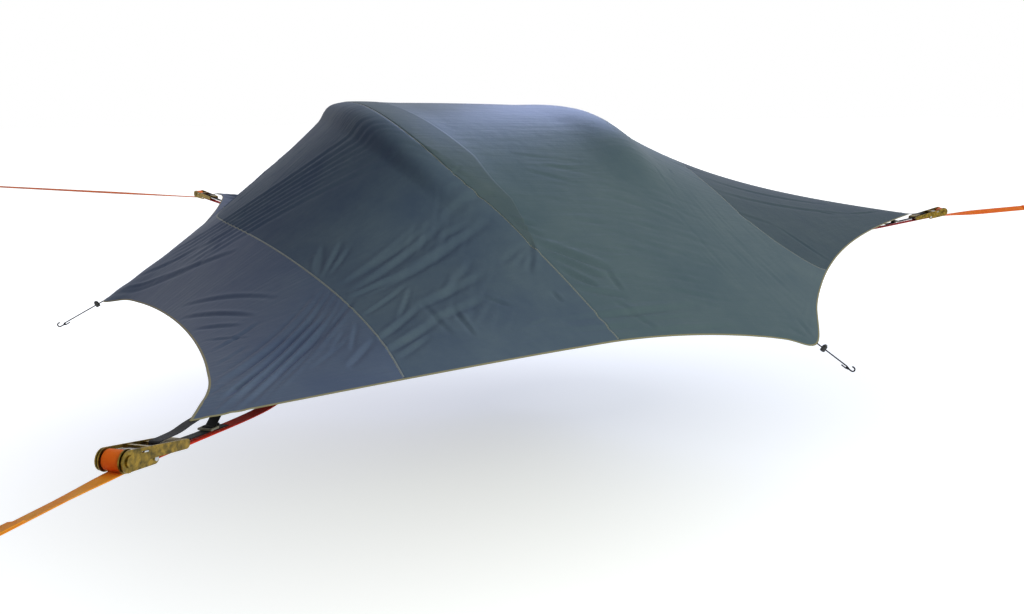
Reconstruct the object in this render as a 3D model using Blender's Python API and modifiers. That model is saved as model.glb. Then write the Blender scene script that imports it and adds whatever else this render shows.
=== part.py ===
# Tree tent for three people: a triangular cabin hung between three trees.
# The origin is where the lines of the three tree straps meet, +Z is up,
# +X points to the rear corner and -X to the front tie-out.
# Lengths are in metres and angles in degrees.

import math

import bmesh
import bpy
import numpy as np
from mathutils import Matrix, Vector
from mathutils.bvhtree import BVHTree

# Rainfly: three ratchet corners, three tie-out points and two poles under it
FLY_SIDE = 4.10
CORNER_REACH = FLY_SIDE / math.sqrt(3)
TIP_HEIGHT = 0.030
TIP_WIDTH = 0.060
TIE_REACH = 1.620
TIE_DROP = 0.165
FLY_WALL = 0.0012
CLOTH_LIFT = 0.0128
FRONT_APEX = 0.600
FRONT_HEIGHT = 0.622
REAR_APEX = 0.387
REAR_HEIGHT = 0.601
FRONT_HEM_BOW = 0.140
HEM_SQUARE_SHARE = 0.60
HEM_LIFT_SHARE = 0.25

# Cabin floor, its bow inwards between corners, and its hatch
FLOOR_INSET = 0.267
FLOOR_REACH = CORNER_REACH - FLOOR_INSET
FLOOR_DROP = 0.050
FLOOR_BOW = 0.040
FLOOR_TIP = 0.160
FLOOR_WALL = 0.0020
HATCH_ACROSS = 0.560
HATCH_GAP = 0.0006
ZIP_TAPE = 0.018
SLIDER_WIDTH = 0.010
SLIDER_LENGTH = 0.014
SLIDER_THICK = 0.0040
PULL_WIDTH = 0.005
PULL_LENGTH = 0.024
EDGE_WEB_WIDTH = 0.040
RING_WEB_WIDTH = 0.025
NET_WALL = 0.0010
NET_INSET = 0.055

# Poles and the cups that they stand in
POLE_DIAMETER = 0.0095
FRONT_FOLD_SHARE = 0.51
REAR_FOLD_SHARE = 0.62
POLE_STEPS = 28
FRONT_FOOT = 0.0
REAR_FOOT = 0.500
CUP_DIAMETER = 0.024
CUP_HEIGHT = 0.030
CUP_BASE = 0.004
CUP_INSET = 0.022

# Webbing
WEB_WIDTH = 0.035
WEB_THICK = 0.0022
STRAP_WIDTH = 0.025
STRAP_THICK = 0.0016
SEWN_LENGTH = 0.090
END_LOOP = 0.120
END_LOOP_GAP = 0.022

# Running gaps: between still pieces, beside moving ones, and between turns
SEAT_GAP = 0.0003
SIDE_GAP = 0.0003
TURN_GAP = 0.00055
CUT_MORE = 0.002
WELD = 0.00001
OUTLINE_FLAT = 0.00012

# Ratchet
SPOOL_OUT = 0.235
STRAP_ROOM = 0.002
RATCHET_TILT = 8.5
AXLE_RADIUS = 0.0080
SLOT_HEIGHT = 0.0036
PLATE_THICK = 0.0025
WHEEL_THICK = 0.0030
TEETH = 12
TOOTH_TIP = 0.0185
TOOTH_ROOT = 0.0140
FRAME_ROUND = 0.0225
FRAME_LENGTH = 0.085
FRAME_DIP = 0.008
FRAME_END = 0.012
BOLT_RADIUS = 0.0040
BOLT_HEAD = 0.0065
HEAD_THICK = 0.0028
AXLE_HEAD = 0.0115
HANDLE_LENGTH = 0.188
HANDLE_ROUND = 0.0210
WAIST_OUT = 0.062
WAIST_RADIUS = 0.0125
WAIST_RISE = 0.007
GRIP_RADIUS = 0.0100
GRIP_RISE = 0.0045
GRIP_LENGTH = 0.073
BAR_DEPTH = 0.010
BAR_BACK = 0.062
LIP_RADIUS = 0.0038
PAWL_THICK = 0.0025
PAWL_REACH = 0.0163
LOCK_ANGLE = 15.0
DRIVE_ANGLE = 45.0
PAWL_TRAVEL = 0.0045
PAWL_BACK = 0.0040
PAWL_BAR = 0.012
ROLL_TURNS = 3
ROLL_FACETS = 16
CROSS_SHARE = 0.72

# Ladder-lock buckle on each rainfly corner
LADDER_LENGTH = 0.030
LADDER_WIDTH = 0.033
LADDER_THICK = 0.0050
LADDER_BAR = 0.0040
LADDER_IN = 0.062
LADDER_DROP = 0.010
TAB_IN = 0.115

# Tie-out cords, cord locks and hooks
TIE_ANGLE = 28.0
TIE_LENGTHS = {"front": 0.175, "left": 0.125, "right": 0.125}
CORD_RADIUS = 0.0022
LOCK_RADIUS = 0.0090
LOCK_HEIGHT = 0.0200
LOCK_OUT = 0.028
BUTTON_RADIUS = 0.0062
BUTTON_RISE = 0.0055
BUTTON_TRAVEL = 0.0040
EYE_RADIUS = 0.0047
HOOK_WIRE = 0.00145
HOOK_RADIUS = 0.0080
HOOK_SHANK = 0.0100
CORD_TURN = 0.0040
CORD_RETURN = 0.018
LOCK_FLOOR = 0.0015

# Tree straps: how steeply each rises outwards, and how far it runs
# past the rainfly corner before its sewn end loop
CORNERS = (
    ("rear", 0.0, 1.9, 0.90),
    ("front_left", -120.0, 5.2, 0.56),
    ("front_right", 120.0, -3.3, 4.66),
)
TIE_POINTS = (("front", 180.0), ("left", -60.0), ("right", 60.0))

# Colours of the finishes: red, green, blue, roughness, metallic
FLY_GREY = (0.075, 0.090, 0.115, 0.55, 0.0)
NET_BLACK = (0.02, 0.02, 0.02, 0.8, 0.0)
FLOOR_BLACK = (0.03, 0.03, 0.035, 0.7, 0.0)
WEB_RED = (0.55, 0.03, 0.02, 0.65, 0.0)
WEB_ORANGE = (0.90, 0.22, 0.02, 0.6, 0.0)
WEB_BLACK = (0.015, 0.015, 0.018, 0.7, 0.0)
ZINC_GOLD = (0.55, 0.40, 0.12, 0.35, 0.9)
STEEL = (0.45, 0.45, 0.45, 0.35, 1.0)
ALLOY = (0.55, 0.57, 0.60, 0.3, 1.0)
PLASTIC_KHAKI = (0.16, 0.13, 0.09, 0.5, 0.0)
PLASTIC_BLACK = (0.012, 0.012, 0.012, 0.45, 0.0)
CORD_BLACK = (0.02, 0.02, 0.02, 0.8, 0.0)


# The webbing under the floor lies one seat gap below it
WEB_LEVEL = -FLOOR_DROP - FLOOR_WALL / 2 - SEAT_GAP - WEB_THICK / 2


# Workshop helpers

def clear_scene():
    """Remove every object that the file opens with."""
    for obj in list(bpy.data.objects):
        bpy.data.objects.remove(obj, do_unlink=True)


def tent_collection():
    """The collection that holds the tent's pieces."""
    collection = bpy.data.collections.get("tree_tent")
    if collection is None:
        collection = bpy.data.collections.new("tree_tent")
        bpy.context.scene.collection.children.link(collection)
    return collection


def loose_object(name, data):
    """An object that is only a step on the way to a finished mesh."""
    obj = bpy.data.objects.new(name, data)
    bpy.context.scene.collection.objects.link(obj)
    return obj


def finished_mesh(obj):
    """The object's evaluated mesh, welded, with the object removed."""
    depsgraph = bpy.context.evaluated_depsgraph_get()
    mesh = bpy.data.meshes.new_from_object(obj.evaluated_get(depsgraph))
    mesh.transform(obj.matrix_world)
    bpy.data.objects.remove(obj, do_unlink=True)
    bm = bmesh.new()
    bm.from_mesh(mesh)
    bmesh.ops.remove_doubles(bm, verts=bm.verts, dist=WELD)
    bm.to_mesh(mesh)
    bm.free()
    return mesh


def finish(name, colour):
    """A finish of one colour, roughness and metallic value."""
    material = bpy.data.materials.new(name)
    material.use_nodes = True
    shader = material.node_tree.nodes["Principled BSDF"]
    shader.inputs["Base Color"].default_value = (*colour[:3], 1.0)
    shader.inputs["Roughness"].default_value = colour[3]
    shader.inputs["Metallic"].default_value = colour[4]
    return material


def piece(name, mesh, colour, parent=None, place=None, smooth=False):
    """Put a finished mesh into the tent as a named piece."""
    obj = bpy.data.objects.new(name, mesh)
    tent_collection().objects.link(obj)
    if not mesh.materials:
        mesh.materials.append(None)
    obj.material_slots[0].link = "OBJECT"
    obj.material_slots[0].material = finish(name + "_finish", colour)
    if smooth:
        mesh.shade_smooth()
        mesh.set_sharp_from_angle(angle=math.radians(35.0))
    if parent is not None:
        obj.parent = parent
    if place is not None:
        obj.matrix_local = place
    return obj


def box(low, high):
    """A box between two corners."""
    bm = bmesh.new()
    size = [b - a for a, b in zip(low, high)]
    middle = [(a + b) / 2 for a, b in zip(low, high)]
    matrix = Matrix.Translation(middle) @ Matrix.Diagonal((*size, 1.0))
    bmesh.ops.create_cube(bm, size=1.0, matrix=matrix)
    mesh = bpy.data.meshes.new("box")
    bm.to_mesh(mesh)
    bm.free()
    return mesh


def cross_rod(radius, half_length, x, z, sides=18):
    """A round rod along Y."""
    bm = bmesh.new()
    matrix = Matrix.Translation((x, 0.0, z)) @ Matrix.Rotation(math.radians(-90.0), 4, "X")
    bmesh.ops.create_cone(bm, cap_ends=True, segments=sides, radius1=radius,
                          radius2=radius, depth=half_length * 2, matrix=matrix)
    mesh = bpy.data.meshes.new("rod")
    bm.to_mesh(mesh)
    bm.free()
    return mesh


def moved(mesh, x=0.0, y=0.0, z=0.0):
    """A moved copy of a mesh."""
    copy = mesh.copy()
    copy.transform(Matrix.Translation((x, y, z)))
    return copy


def flat_plate(outlines, thickness, upright=True):
    """A flat plate from closed outlines, the inner ones being holes.

    An upright plate lies in the XZ plane, any other in the XY plane.
    """
    curve = bpy.data.curves.new("outline", "CURVE")
    curve.dimensions = "2D"
    curve.fill_mode = "BOTH"
    curve.extrude = thickness / 2
    for outline in outlines:
        spline = curve.splines.new("POLY")
        spline.points.add(len(outline) - 1)
        for point, (across, up) in zip(spline.points, outline):
            point.co = (across, up, 0.0, 1.0)
        spline.use_cyclic_u = True
    obj = loose_object("plate", curve)
    if upright:
        obj.matrix_world = Matrix.Rotation(math.radians(90.0), 4, "X")
    bpy.context.view_layer.update()
    return finished_mesh(obj)


def band(points, width, thickness):
    """Webbing that follows points of the XZ plane, its width along Y."""
    curve = bpy.data.curves.new("band", "CURVE")
    curve.dimensions = "2D"
    curve.fill_mode = "NONE"
    curve.extrude = width / 2
    spline = curve.splines.new("POLY")
    spline.points.add(len(points) - 1)
    for point, (across, up) in zip(spline.points, points):
        point.co = (across, up, 0.0, 1.0)
    strip = loose_object("band", curve)
    strip.matrix_world = Matrix.Rotation(math.radians(90.0), 4, "X")
    bpy.context.view_layer.update()
    strip = loose_object("band", finished_mesh(strip))
    wall = strip.modifiers.new("wall", "SOLIDIFY")
    wall.thickness = thickness
    wall.offset = 0.0
    wall.use_even_offset = True
    return outward(finished_mesh(strip))


def outward(mesh):
    """Turn every face of a closed mesh outwards."""
    bm = bmesh.new()
    bm.from_mesh(mesh)
    bmesh.ops.recalc_face_normals(bm, faces=bm.faces)
    bm.to_mesh(mesh)
    bm.free()
    return mesh


def tube(points, radius, resolution=2, cyclic=False):
    """A round tube along points in space, with closed ends."""
    curve = bpy.data.curves.new("tube", "CURVE")
    curve.dimensions = "3D"
    curve.bevel_depth = radius
    curve.bevel_resolution = resolution
    curve.use_fill_caps = True
    spline = curve.splines.new("POLY")
    spline.points.add(len(points) - 1)
    for point, place in zip(spline.points, points):
        point.co = (*place, 1.0)
    spline.use_cyclic_u = cyclic
    obj = loose_object("tube", curve)
    bpy.context.view_layer.update()
    return outward(finished_mesh(obj))


def turned(profile, steps):
    """A turned solid from (radius, height) points, top to bottom outside."""
    bm = bmesh.new()
    verts = [bm.verts.new((radius, 0.0, height)) for radius, height in profile]
    for a, b in zip(verts, verts[1:]):
        bm.edges.new((a, b))
    mesh = bpy.data.meshes.new("profile")
    bm.to_mesh(mesh)
    bm.free()
    obj = loose_object("turned", mesh)
    screw = obj.modifiers.new("turn", "SCREW")
    screw.steps = steps
    screw.render_steps = steps
    screw.use_merge_vertices = True
    screw.merge_threshold = WELD
    return outward(finished_mesh(obj))


def shaped(meshes, cuts=()):
    """Join meshes into one body, then cut the others out of it."""
    body = loose_object("body", meshes[0])
    helpers = []
    for operation, group in (("UNION", meshes[1:]), ("DIFFERENCE", cuts)):
        for mesh in group:
            helper = loose_object("helper", mesh)
            change = body.modifiers.new(operation, "BOOLEAN")
            change.operation = operation
            change.solver = "EXACT"
            change.object = helper
            helpers.append(helper)
    bpy.context.view_layer.update()
    mesh = finished_mesh(body)
    for helper in helpers:
        bpy.data.objects.remove(helper, do_unlink=True)
    return mesh


def circle_points(x, z, radius, count, start=0.0, sweep=360.0):
    """Points on a circle or an arc, the arc's two ends included."""
    whole = abs(sweep) == 360.0
    steps = count if whole else count - 1
    angles = [math.radians(start + sweep * k / steps) for k in range(count)]
    return [(x + radius * math.cos(a), z + radius * math.sin(a)) for a in angles]


def belt(circles, count=24):
    """The outline of a belt stretched round circles (x, z, radius)."""
    points = []
    for x, z, radius in circles:
        points += circle_points(x, z, radius, count)
    points.sort()

    def half(ordered):
        chain = []
        for p in ordered:
            while len(chain) > 1:
                (ax, az), (bx, bz) = chain[-2], chain[-1]
                if (bx - ax) * (p[1] - az) - (bz - az) * (p[0] - ax) > 0:
                    break
                chain.pop()
            chain.append(p)
        return chain[:-1]

    return half(points) + half(points[::-1])


def merged(outlines):
    """The outline round overlapping outlines that follow each other in X."""
    values = sorted(x for outline in outlines for x, _ in outline)
    kept = [values[0]]
    for x in values:
        if x - kept[-1] > WELD * 10:
            kept.append(x)
    kept[-1] = values[-1]
    low, high = [], []
    for x in kept:
        levels = []
        for outline in outlines:
            for (ax, az), (bx, bz) in zip(outline, outline[1:] + outline[:1]):
                if min(ax, bx) <= x <= max(ax, bx) and ax != bx:
                    levels.append(az + (bz - az) * (x - ax) / (bx - ax))
        low.append((x, min(levels)))
        high.append((x, max(levels)))
    outline = []
    for point in low + high[::-1]:
        if not outline or math.dist(point, outline[-1]) > WELD * 10:
            outline.append(point)
    if math.dist(outline[0], outline[-1]) < WELD * 10:
        outline.pop()
    bends = outline[:1]
    for point, after in zip(outline[1:], outline[2:] + outline[:1]):
        run = (after[0] - bends[-1][0], after[1] - bends[-1][1])
        off = (point[0] - bends[-1][0]) * run[1] - (point[1] - bends[-1][1]) * run[0]
        if abs(off) > OUTLINE_FLAT * math.hypot(*run):
            bends.append(point)
    return bends


def smooth_path(points, spacing):
    """Points read at an even spacing from a smooth curve through points."""
    points = np.array(points, float)
    ends = np.vstack([2 * points[0] - points[1], points, 2 * points[-1] - points[-2]])
    dense = []
    for k in range(len(points) - 1):
        a, b, c, d = ends[k:k + 4]
        for share in np.linspace(0.0, 1.0, 16, endpoint=False):
            t = share
            dense.append(0.5 * (2 * b + (c - a) * t + (2 * a - 5 * b + 4 * c - d) * t * t
                                + (3 * b - a - 3 * c + d) * t ** 3))
    dense.append(points[-1])
    dense = np.array(dense)
    walked = np.concatenate([[0.0], np.cumsum(np.linalg.norm(np.diff(dense, axis=0), axis=1))])
    count = max(2, round(walked[-1] / spacing) + 1)
    at = np.linspace(0.0, walked[-1], count)
    return [tuple(np.interp(s, walked, dense[:, k]) for k in range(dense.shape[1])) for s in at]


# The cloth

def tension_net(rows, columns, held, along, across, lift):
    """Let a net of cords settle between its held knots.

    held gives the place of each fixed knot (row, column), along and across
    give the pull of each cord for its length, and lift the push of the air.
    """
    width = columns + 1
    count = (rows + 1) * width
    pull = np.zeros((count, count))
    push = np.zeros((count, 3))

    def tie(a, b, strength):
        pull[a, a] += strength
        pull[b, b] += strength
        pull[a, b] -= strength
        pull[b, a] -= strength

    for row in range(rows + 1):
        for column in range(width):
            knot = row * width + column
            if column < columns:
                tie(knot, knot + 1, across(row, column))
            if row < rows:
                tie(knot, knot + width, along(row, column))
            push[knot, 2] = lift(row, 2 * column / columns - 1)
    for (row, column), place in held.items():
        knot = row * width + column
        pull[knot] = 0.0
        pull[knot, knot] = 1.0
        push[knot] = place
    return np.linalg.solve(pull, push).reshape(rows + 1, width, 3)


def cloth_sheet(net, wall):
    """A closed sheet of cloth over the knots of a net."""
    rows, columns = net.shape[0] - 1, net.shape[1] - 1
    bm = bmesh.new()
    bmesh.ops.create_grid(bm, x_segments=columns, y_segments=rows, size=1.0)
    bm.verts.ensure_lookup_table()
    places = net.reshape(-1, 3)
    for vert, place in zip(bm.verts, places):
        vert.co = place
    bmesh.ops.recalc_face_normals(bm, faces=bm.faces)
    if sum(face.normal.z * face.calc_area() for face in bm.faces) < 0:
        bmesh.ops.reverse_faces(bm, faces=bm.faces)
    bmesh.ops.triangulate(bm, faces=bm.faces, quad_method="SHORT_EDGE")
    mesh = bpy.data.meshes.new("sheet")
    bm.to_mesh(mesh)
    bm.free()
    obj = loose_object("sheet", mesh)
    solid = obj.modifiers.new("wall", "SOLIDIFY")
    solid.thickness = wall
    solid.offset = 0.0
    return finished_mesh(obj)


def polar(reach, azimuth, height=0.0):
    """A point at a distance and direction from the middle of the tent."""
    angle = math.radians(azimuth)
    return np.array([reach * math.cos(angle), reach * math.sin(angle), height])


def floor_edge(start, end, share):
    """A point of the floor's bowed edge between two of its corners."""
    a = polar(FLOOR_REACH, start)
    b = polar(FLOOR_REACH, end)
    point = a + (b - a) * share
    inwards = -(a + b) / np.linalg.norm(a + b)
    return point + inwards * FLOOR_BOW * 4 * share * (1 - share)


def foot_side(foot):
    """How far from the middle line a pole stands, for its place along X."""
    corner = polar(FLOOR_REACH, -120.0)
    share = (foot - corner[0]) / (FLOOR_REACH - corner[0])
    edge = floor_edge(-120.0, 0.0, share)
    return -edge[1] - CUP_INSET / math.cos(math.radians(30.0))


# How far a pole's middle lies inside the fly, more where the fly folds sharply
FRONT_SEAT = (POLE_DIAMETER / 2 + FLY_WALL / 2 + SEAT_GAP) / FRONT_FOLD_SHARE
REAR_SEAT = (POLE_DIAMETER / 2 + FLY_WALL / 2 + SEAT_GAP) / REAR_FOLD_SHARE

# The fly's arch over each pole: apex along X, its height, foot along X, side, squareness
FRONT_POLE = (-FRONT_APEX, FRONT_HEIGHT, FRONT_FOOT, foot_side(FRONT_FOOT) + FRONT_SEAT, 3.0)
REAR_POLE = (REAR_APEX, REAR_HEIGHT, REAR_FOOT, foot_side(REAR_FOOT) + REAR_SEAT, 2.6)


def arch_point(pole, share, inside):
    """A point some way inside a pole's arch, from -1 at a foot to 1 at the other."""
    apex, height, foot, side, squareness = pole
    crown = Vector((apex - foot, 0.0, height))

    def on_arch(at):
        angle = at * math.pi / 2
        rise_share = abs(math.cos(angle)) ** (2 / squareness)
        side_share = math.copysign(abs(math.sin(angle)) ** (2 / squareness), angle)
        return Vector((foot, side * side_share, 0.0)) + crown * rise_share

    step_share = 0.001
    if abs(share) + step_share > 1:
        inwards = Vector((0.0, -math.copysign(1.0, share), 0.0))
    elif share == 0:
        inwards = -crown.normalized()
    else:
        along = on_arch(share + step_share) - on_arch(share - step_share)
        inwards = crown.cross(Vector((0.0, 1.0, 0.0))).cross(along).normalized()
    return on_arch(share) + inwards * inside


FLY_ROWS = 24
FLY_COLUMNS = 24
FRONT_ROW = 9
REAR_ROW = 13
TIE_ROW = 15
FRONT_TOUCH = 7
REAR_TOUCH = 6
TOUCH_STEP_SHARE = 0.093
SIDE_HEM_PULL = 21.0
TAIL_HEM_PULL = 2.6
LENGTH_PULL = 0.67
FRONT_CROSS_PULL = 0.20


def front_hem(share):
    """A point of the front hem, cut in a bow from the left corner to the tie-out."""
    corner = polar(CORNER_REACH, -120.0, TIP_HEIGHT)
    run = polar(TIE_REACH, 180.0, -TIE_DROP) - corner
    inwards = np.array([run[1], -run[0], 0.0]) / math.hypot(run[0], run[1])
    bow = FRONT_HEM_BOW * (4 * share * (1 - share)) ** HEM_SQUARE_SHARE
    return corner + run * share + (inwards + np.array([0.0, 0.0, HEM_LIFT_SHARE])) * bow


def fly_net():
    """The rainfly's shape, drawn taut over its poles by six corners."""
    middle = FLY_COLUMNS // 2
    left = polar(CORNER_REACH, -120.0, TIP_HEIGHT)
    rear = polar(CORNER_REACH, 0.0, TIP_HEIGHT)
    side_tie = polar(TIE_REACH, -60.0, -TIE_DROP)
    mirror = np.array([1.0, -1.0, 1.0])
    held = {
        (0, 0): left,
        (0, FLY_COLUMNS): left * mirror,
        (0, middle): polar(TIE_REACH, 180.0, -TIE_DROP),
        (TIE_ROW, 0): side_tie,
        (TIE_ROW, FLY_COLUMNS): side_tie * mirror,
    }
    for column in range(1, middle):
        held[0, column] = front_hem(column / middle)
        held[0, FLY_COLUMNS - column] = held[0, column] * mirror
    for column in range(FLY_COLUMNS + 1):
        share = column / FLY_COLUMNS - 0.5
        held[FLY_ROWS, column] = rear + np.array([0.0, share * TIP_WIDTH, 0.0])
    for row, pole, touched in ((FRONT_ROW, FRONT_POLE, FRONT_TOUCH), (REAR_ROW, REAR_POLE, REAR_TOUCH)):
        for step in range(-touched, touched + 1):
            held[row, middle + step] = arch_point(pole, TOUCH_STEP_SHARE * step, 0.0)

    def along(row, column):
        if column in (0, FLY_COLUMNS):
            return SIDE_HEM_PULL if row < TIE_ROW else TAIL_HEM_PULL
        return LENGTH_PULL

    def across(row, column):
        return FRONT_CROSS_PULL * row / FRONT_ROW if row < FRONT_ROW else 1.0

    def lift(row, side):
        between = FRONT_ROW <= row < REAR_ROW
        return CLOTH_LIFT * (1 - side * side) if between else 0.0

    return tension_net(FLY_ROWS, FLY_COLUMNS, held, along, across, lift)


NET_ROWS = 13
NET_COLUMNS = 14
NET_FRONT_ROW = 5
NET_REAR_ROW = 7


def inset_edge(start, end, inset, share):
    """A point of the floor's outline drawn in by an inset; its tips are blunt."""
    blunt = (FLOOR_TIP / 2 + inset * math.sqrt(3)) / (FLOOR_REACH * math.sqrt(3))
    inwards = -(polar(1.0, start) + polar(1.0, end))
    return floor_edge(start, end, blunt + (1 - 2 * blunt) * share) + inwards * inset


def floor_outline(inset, steps=14):
    """The floor's three bowed edges, drawn in by an inset, as (x, y)."""
    points = []
    azimuths = (-120.0, 0.0, 120.0)
    for start, end in zip(azimuths, azimuths[1:] + azimuths[:1]):
        for step in range(steps + 1):
            points.append(tuple(inset_edge(start, end, inset, step / steps)[:2]))
    return points


def cabin_net():
    """The insect net's shape, from the floor's edge up to the poles."""
    base = np.array([0.0, 0.0, -FLOOR_DROP + FLOOR_WALL / 2 + SEAT_GAP + NET_WALL / 2])
    mirror = np.array([1.0, -1.0, 1.0])
    corner = polar(FLOOR_REACH, -120.0)
    span = FLOOR_REACH - corner[0]
    shares = np.interp(range(NET_ROWS + 1), (0, NET_FRONT_ROW, NET_REAR_ROW, NET_ROWS),
                       (0.0, (FRONT_FOOT - corner[0]) / span, (REAR_FOOT - corner[0]) / span, 1.0))
    held = {}
    for row, share in enumerate(shares):
        edge = inset_edge(-120.0, 0.0, NET_INSET, share) + base
        held[row, 0] = edge
        held[row, NET_COLUMNS] = edge * mirror
    tip = held[NET_ROWS, 0]
    for column in range(1, NET_COLUMNS):
        share = column / NET_COLUMNS
        held[0, column] = inset_edge(-120.0, 120.0, NET_INSET, share) + base
        held[NET_ROWS, column] = tip * np.array([1.0, 1 - 2 * share, 1.0])
    under_pole = POLE_DIAMETER / 2 + SEAT_GAP + NET_WALL
    for row, pole, seat in ((NET_FRONT_ROW, FRONT_POLE, FRONT_SEAT), (NET_REAR_ROW, REAR_POLE, REAR_SEAT)):
        for column in range(1, NET_COLUMNS):
            held[row, column] = arch_point(pole, 2 * column / NET_COLUMNS - 1, seat + under_pole)
    return tension_net(NET_ROWS, NET_COLUMNS, held, lambda row, column: 1.0,
                       lambda row, column: 1.0, lambda row, side: 0.0)


def hexagon(across):
    """A regular hexagon with two of its flats square to X."""
    return circle_points(0.0, 0.0, across / 2 / math.cos(math.radians(30.0)), 6, start=30.0)


def build_cloth():
    """Rainfly, insect net, floor, hatch and the webbing sewn to them."""
    piece("rainfly", cloth_sheet(fly_net(), FLY_WALL), FLY_GREY, smooth=True)
    piece("insect_net", cloth_sheet(cabin_net(), NET_WALL), NET_BLACK, smooth=True)
    floor = flat_plate([floor_outline(0.0), hexagon(HATCH_ACROSS)], FLOOR_WALL, upright=False)
    piece("floor_panel", moved(floor, z=-FLOOR_DROP), FLOOR_BLACK)
    web_inner = hexagon(HATCH_ACROSS + 2 * ZIP_TAPE)
    web_outer = hexagon(HATCH_ACROSS + 2 * ZIP_TAPE + 2 * RING_WEB_WIDTH)
    ring = flat_plate([web_outer, web_inner], WEB_THICK, upright=False)
    piece("hatch_ring", moved(ring, z=WEB_LEVEL), WEB_RED)
    edge = flat_plate([floor_outline(SEAT_GAP), floor_outline(EDGE_WEB_WIDTH)], WEB_THICK,
                      upright=False)
    piece("edge_webbing", moved(edge, z=-FLOOR_DROP + FLOOR_WALL / 2 + SEAT_GAP + WEB_THICK / 2),
          WEB_BLACK)


def build_hatch():
    """The floor hatch, hung at its rear edge, and its zip's slider."""
    half = HATCH_ACROSS / 2
    hinge = Matrix.Translation((half, 0.0, -FLOOR_DROP - FLOOR_WALL / 2))
    panel = flat_plate([hexagon(HATCH_ACROSS - 2 * HATCH_GAP)], FLOOR_WALL, upright=False)
    panel = moved(panel, x=-half, z=FLOOR_WALL / 2)
    piece("floor_hatch", panel, FLOOR_BLACK, place=hinge)
    side = HATCH_ACROSS / math.sqrt(3)
    start = -side / 2 + SLIDER_LENGTH + PULL_LENGTH
    body = box((-SLIDER_WIDTH, -SLIDER_LENGTH / 2, -SLIDER_THICK),
               (0.0, SLIDER_LENGTH / 2, 0.0))
    pull = box((-SLIDER_WIDTH / 2 - PULL_WIDTH / 2, -SLIDER_LENGTH / 2 - PULL_LENGTH, -SLIDER_THICK),
               (-SLIDER_WIDTH / 2 + PULL_WIDTH / 2, 0.0, -SLIDER_THICK / 2))
    slider = shaped([body, pull])
    place = Matrix.Translation((-half - HATCH_GAP, start, -FLOOR_DROP - FLOOR_WALL / 2 - SEAT_GAP))
    piece("hatch_zip_slider", slider, STEEL, place=place)


def build_poles():
    """Two alloy poles and the cups on the floor's edge that hold them."""
    cup_base = -FLOOR_DROP + FLOOR_WALL / 2 + 2 * SEAT_GAP + WEB_THICK
    foot_height = cup_base + CUP_BASE + SEAT_GAP
    bore = POLE_DIAMETER / 2 + SEAT_GAP
    outer = CUP_DIAMETER / 2
    rim = (outer + bore) / 2
    profile = [(0.0, CUP_BASE), (bore, CUP_BASE), (bore, CUP_HEIGHT), (rim, CUP_HEIGHT),
               (outer, CUP_BASE), (outer, 0.0), (0.0, 0.0)]
    for name, pole, seat in (("front", FRONT_POLE, FRONT_SEAT), ("rear", REAR_POLE, REAR_SEAT)):
        points = [arch_point(pole, 2 * k / POLE_STEPS - 1, seat) for k in range(POLE_STEPS + 1)]
        ends = [(p[0], p[1], foot_height) for p in (points[0], points[-1])]
        knees = [(p[0], p[1], CUP_HEIGHT + foot_height) for p in (points[0], points[-1])]
        arch = [p for p in points[1:-1] if p[2] > 2 * CUP_HEIGHT]
        route = [ends[0], knees[0], *arch, knees[1], ends[1]]
        piece(name + "_pole", tube(route, POLE_DIAMETER / 2), ALLOY, smooth=True)
        cup = turned(profile, 16)
        for side, end in (("left", ends[0]), ("right", ends[1])):
            place = Matrix.Translation((end[0], end[1], cup_base))
            piece(f"{name}_{side}_pole_cup", cup, PLASTIC_BLACK, place=place, smooth=True)


# The ratchet, drawn round its spool's axis: X points along the tree strap
# to the tree, Y across it and Z up, with the handle folded shut over -X

PLATE_INNER = WEB_WIDTH / 2 + STRAP_ROOM
WHEEL_INNER = PLATE_INNER + PLATE_THICK + SIDE_GAP
HANDLE_INNER = WHEEL_INNER + WHEEL_THICK + SIDE_GAP
HANDLE_OUTER = HANDLE_INNER + PLATE_THICK
SLOT_HALF = SLOT_HEIGHT / 2
ROLL_PITCH = WEB_THICK + TURN_GAP
LOCK_BAR_FRONT = FRAME_ROUND + PAWL_BAR
DRIVE_BAR_FRONT = LOCK_BAR_FRONT + PAWL_TRAVEL


def pair(mesh):
    """A mesh and its mirror image across the middle of the strap."""
    other = mesh.copy()
    other.transform(Matrix.Diagonal((1.0, -1.0, 1.0, 1.0)))
    other.flip_normals()
    return [mesh, other]


def wheel_outline():
    """A saw-toothed wheel, steep on the side that holds the strap's pull."""
    points = []
    pitch_shares = (-0.30, -0.08, 0.08, 0.18)
    for tooth in range(TEETH):
        for share, radius in zip(pitch_shares, (TOOTH_ROOT, TOOTH_TIP, TOOTH_TIP, TOOTH_ROOT)):
            angle = math.radians(360.0 / TEETH * (tooth + share))
            points.append((radius * math.cos(angle), radius * math.sin(angle)))
    return points


def spool_mesh():
    """The slotted axle with its two toothed wheels and its riveted ends."""
    axle = cross_rod(AXLE_RADIUS, HANDLE_OUTER + SIDE_GAP + HEAD_THICK / 2, 0.0, 0.0)
    wheel = flat_plate([wheel_outline()], WHEEL_THICK)
    wheels = pair(moved(wheel, y=WHEEL_INNER + WHEEL_THICK / 2))
    head = cross_rod(AXLE_HEAD, HEAD_THICK / 2, 0.0, 0.0)
    heads = pair(moved(head, y=HANDLE_OUTER + SIDE_GAP + HEAD_THICK / 2))
    slot_side = WEB_WIDTH / 2 + SIDE_GAP
    slot = box((-FRAME_ROUND, -slot_side, -SLOT_HALF), (FRAME_ROUND, slot_side, SLOT_HALF))
    return shaped([axle, *wheels, *heads], [slot])


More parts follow.
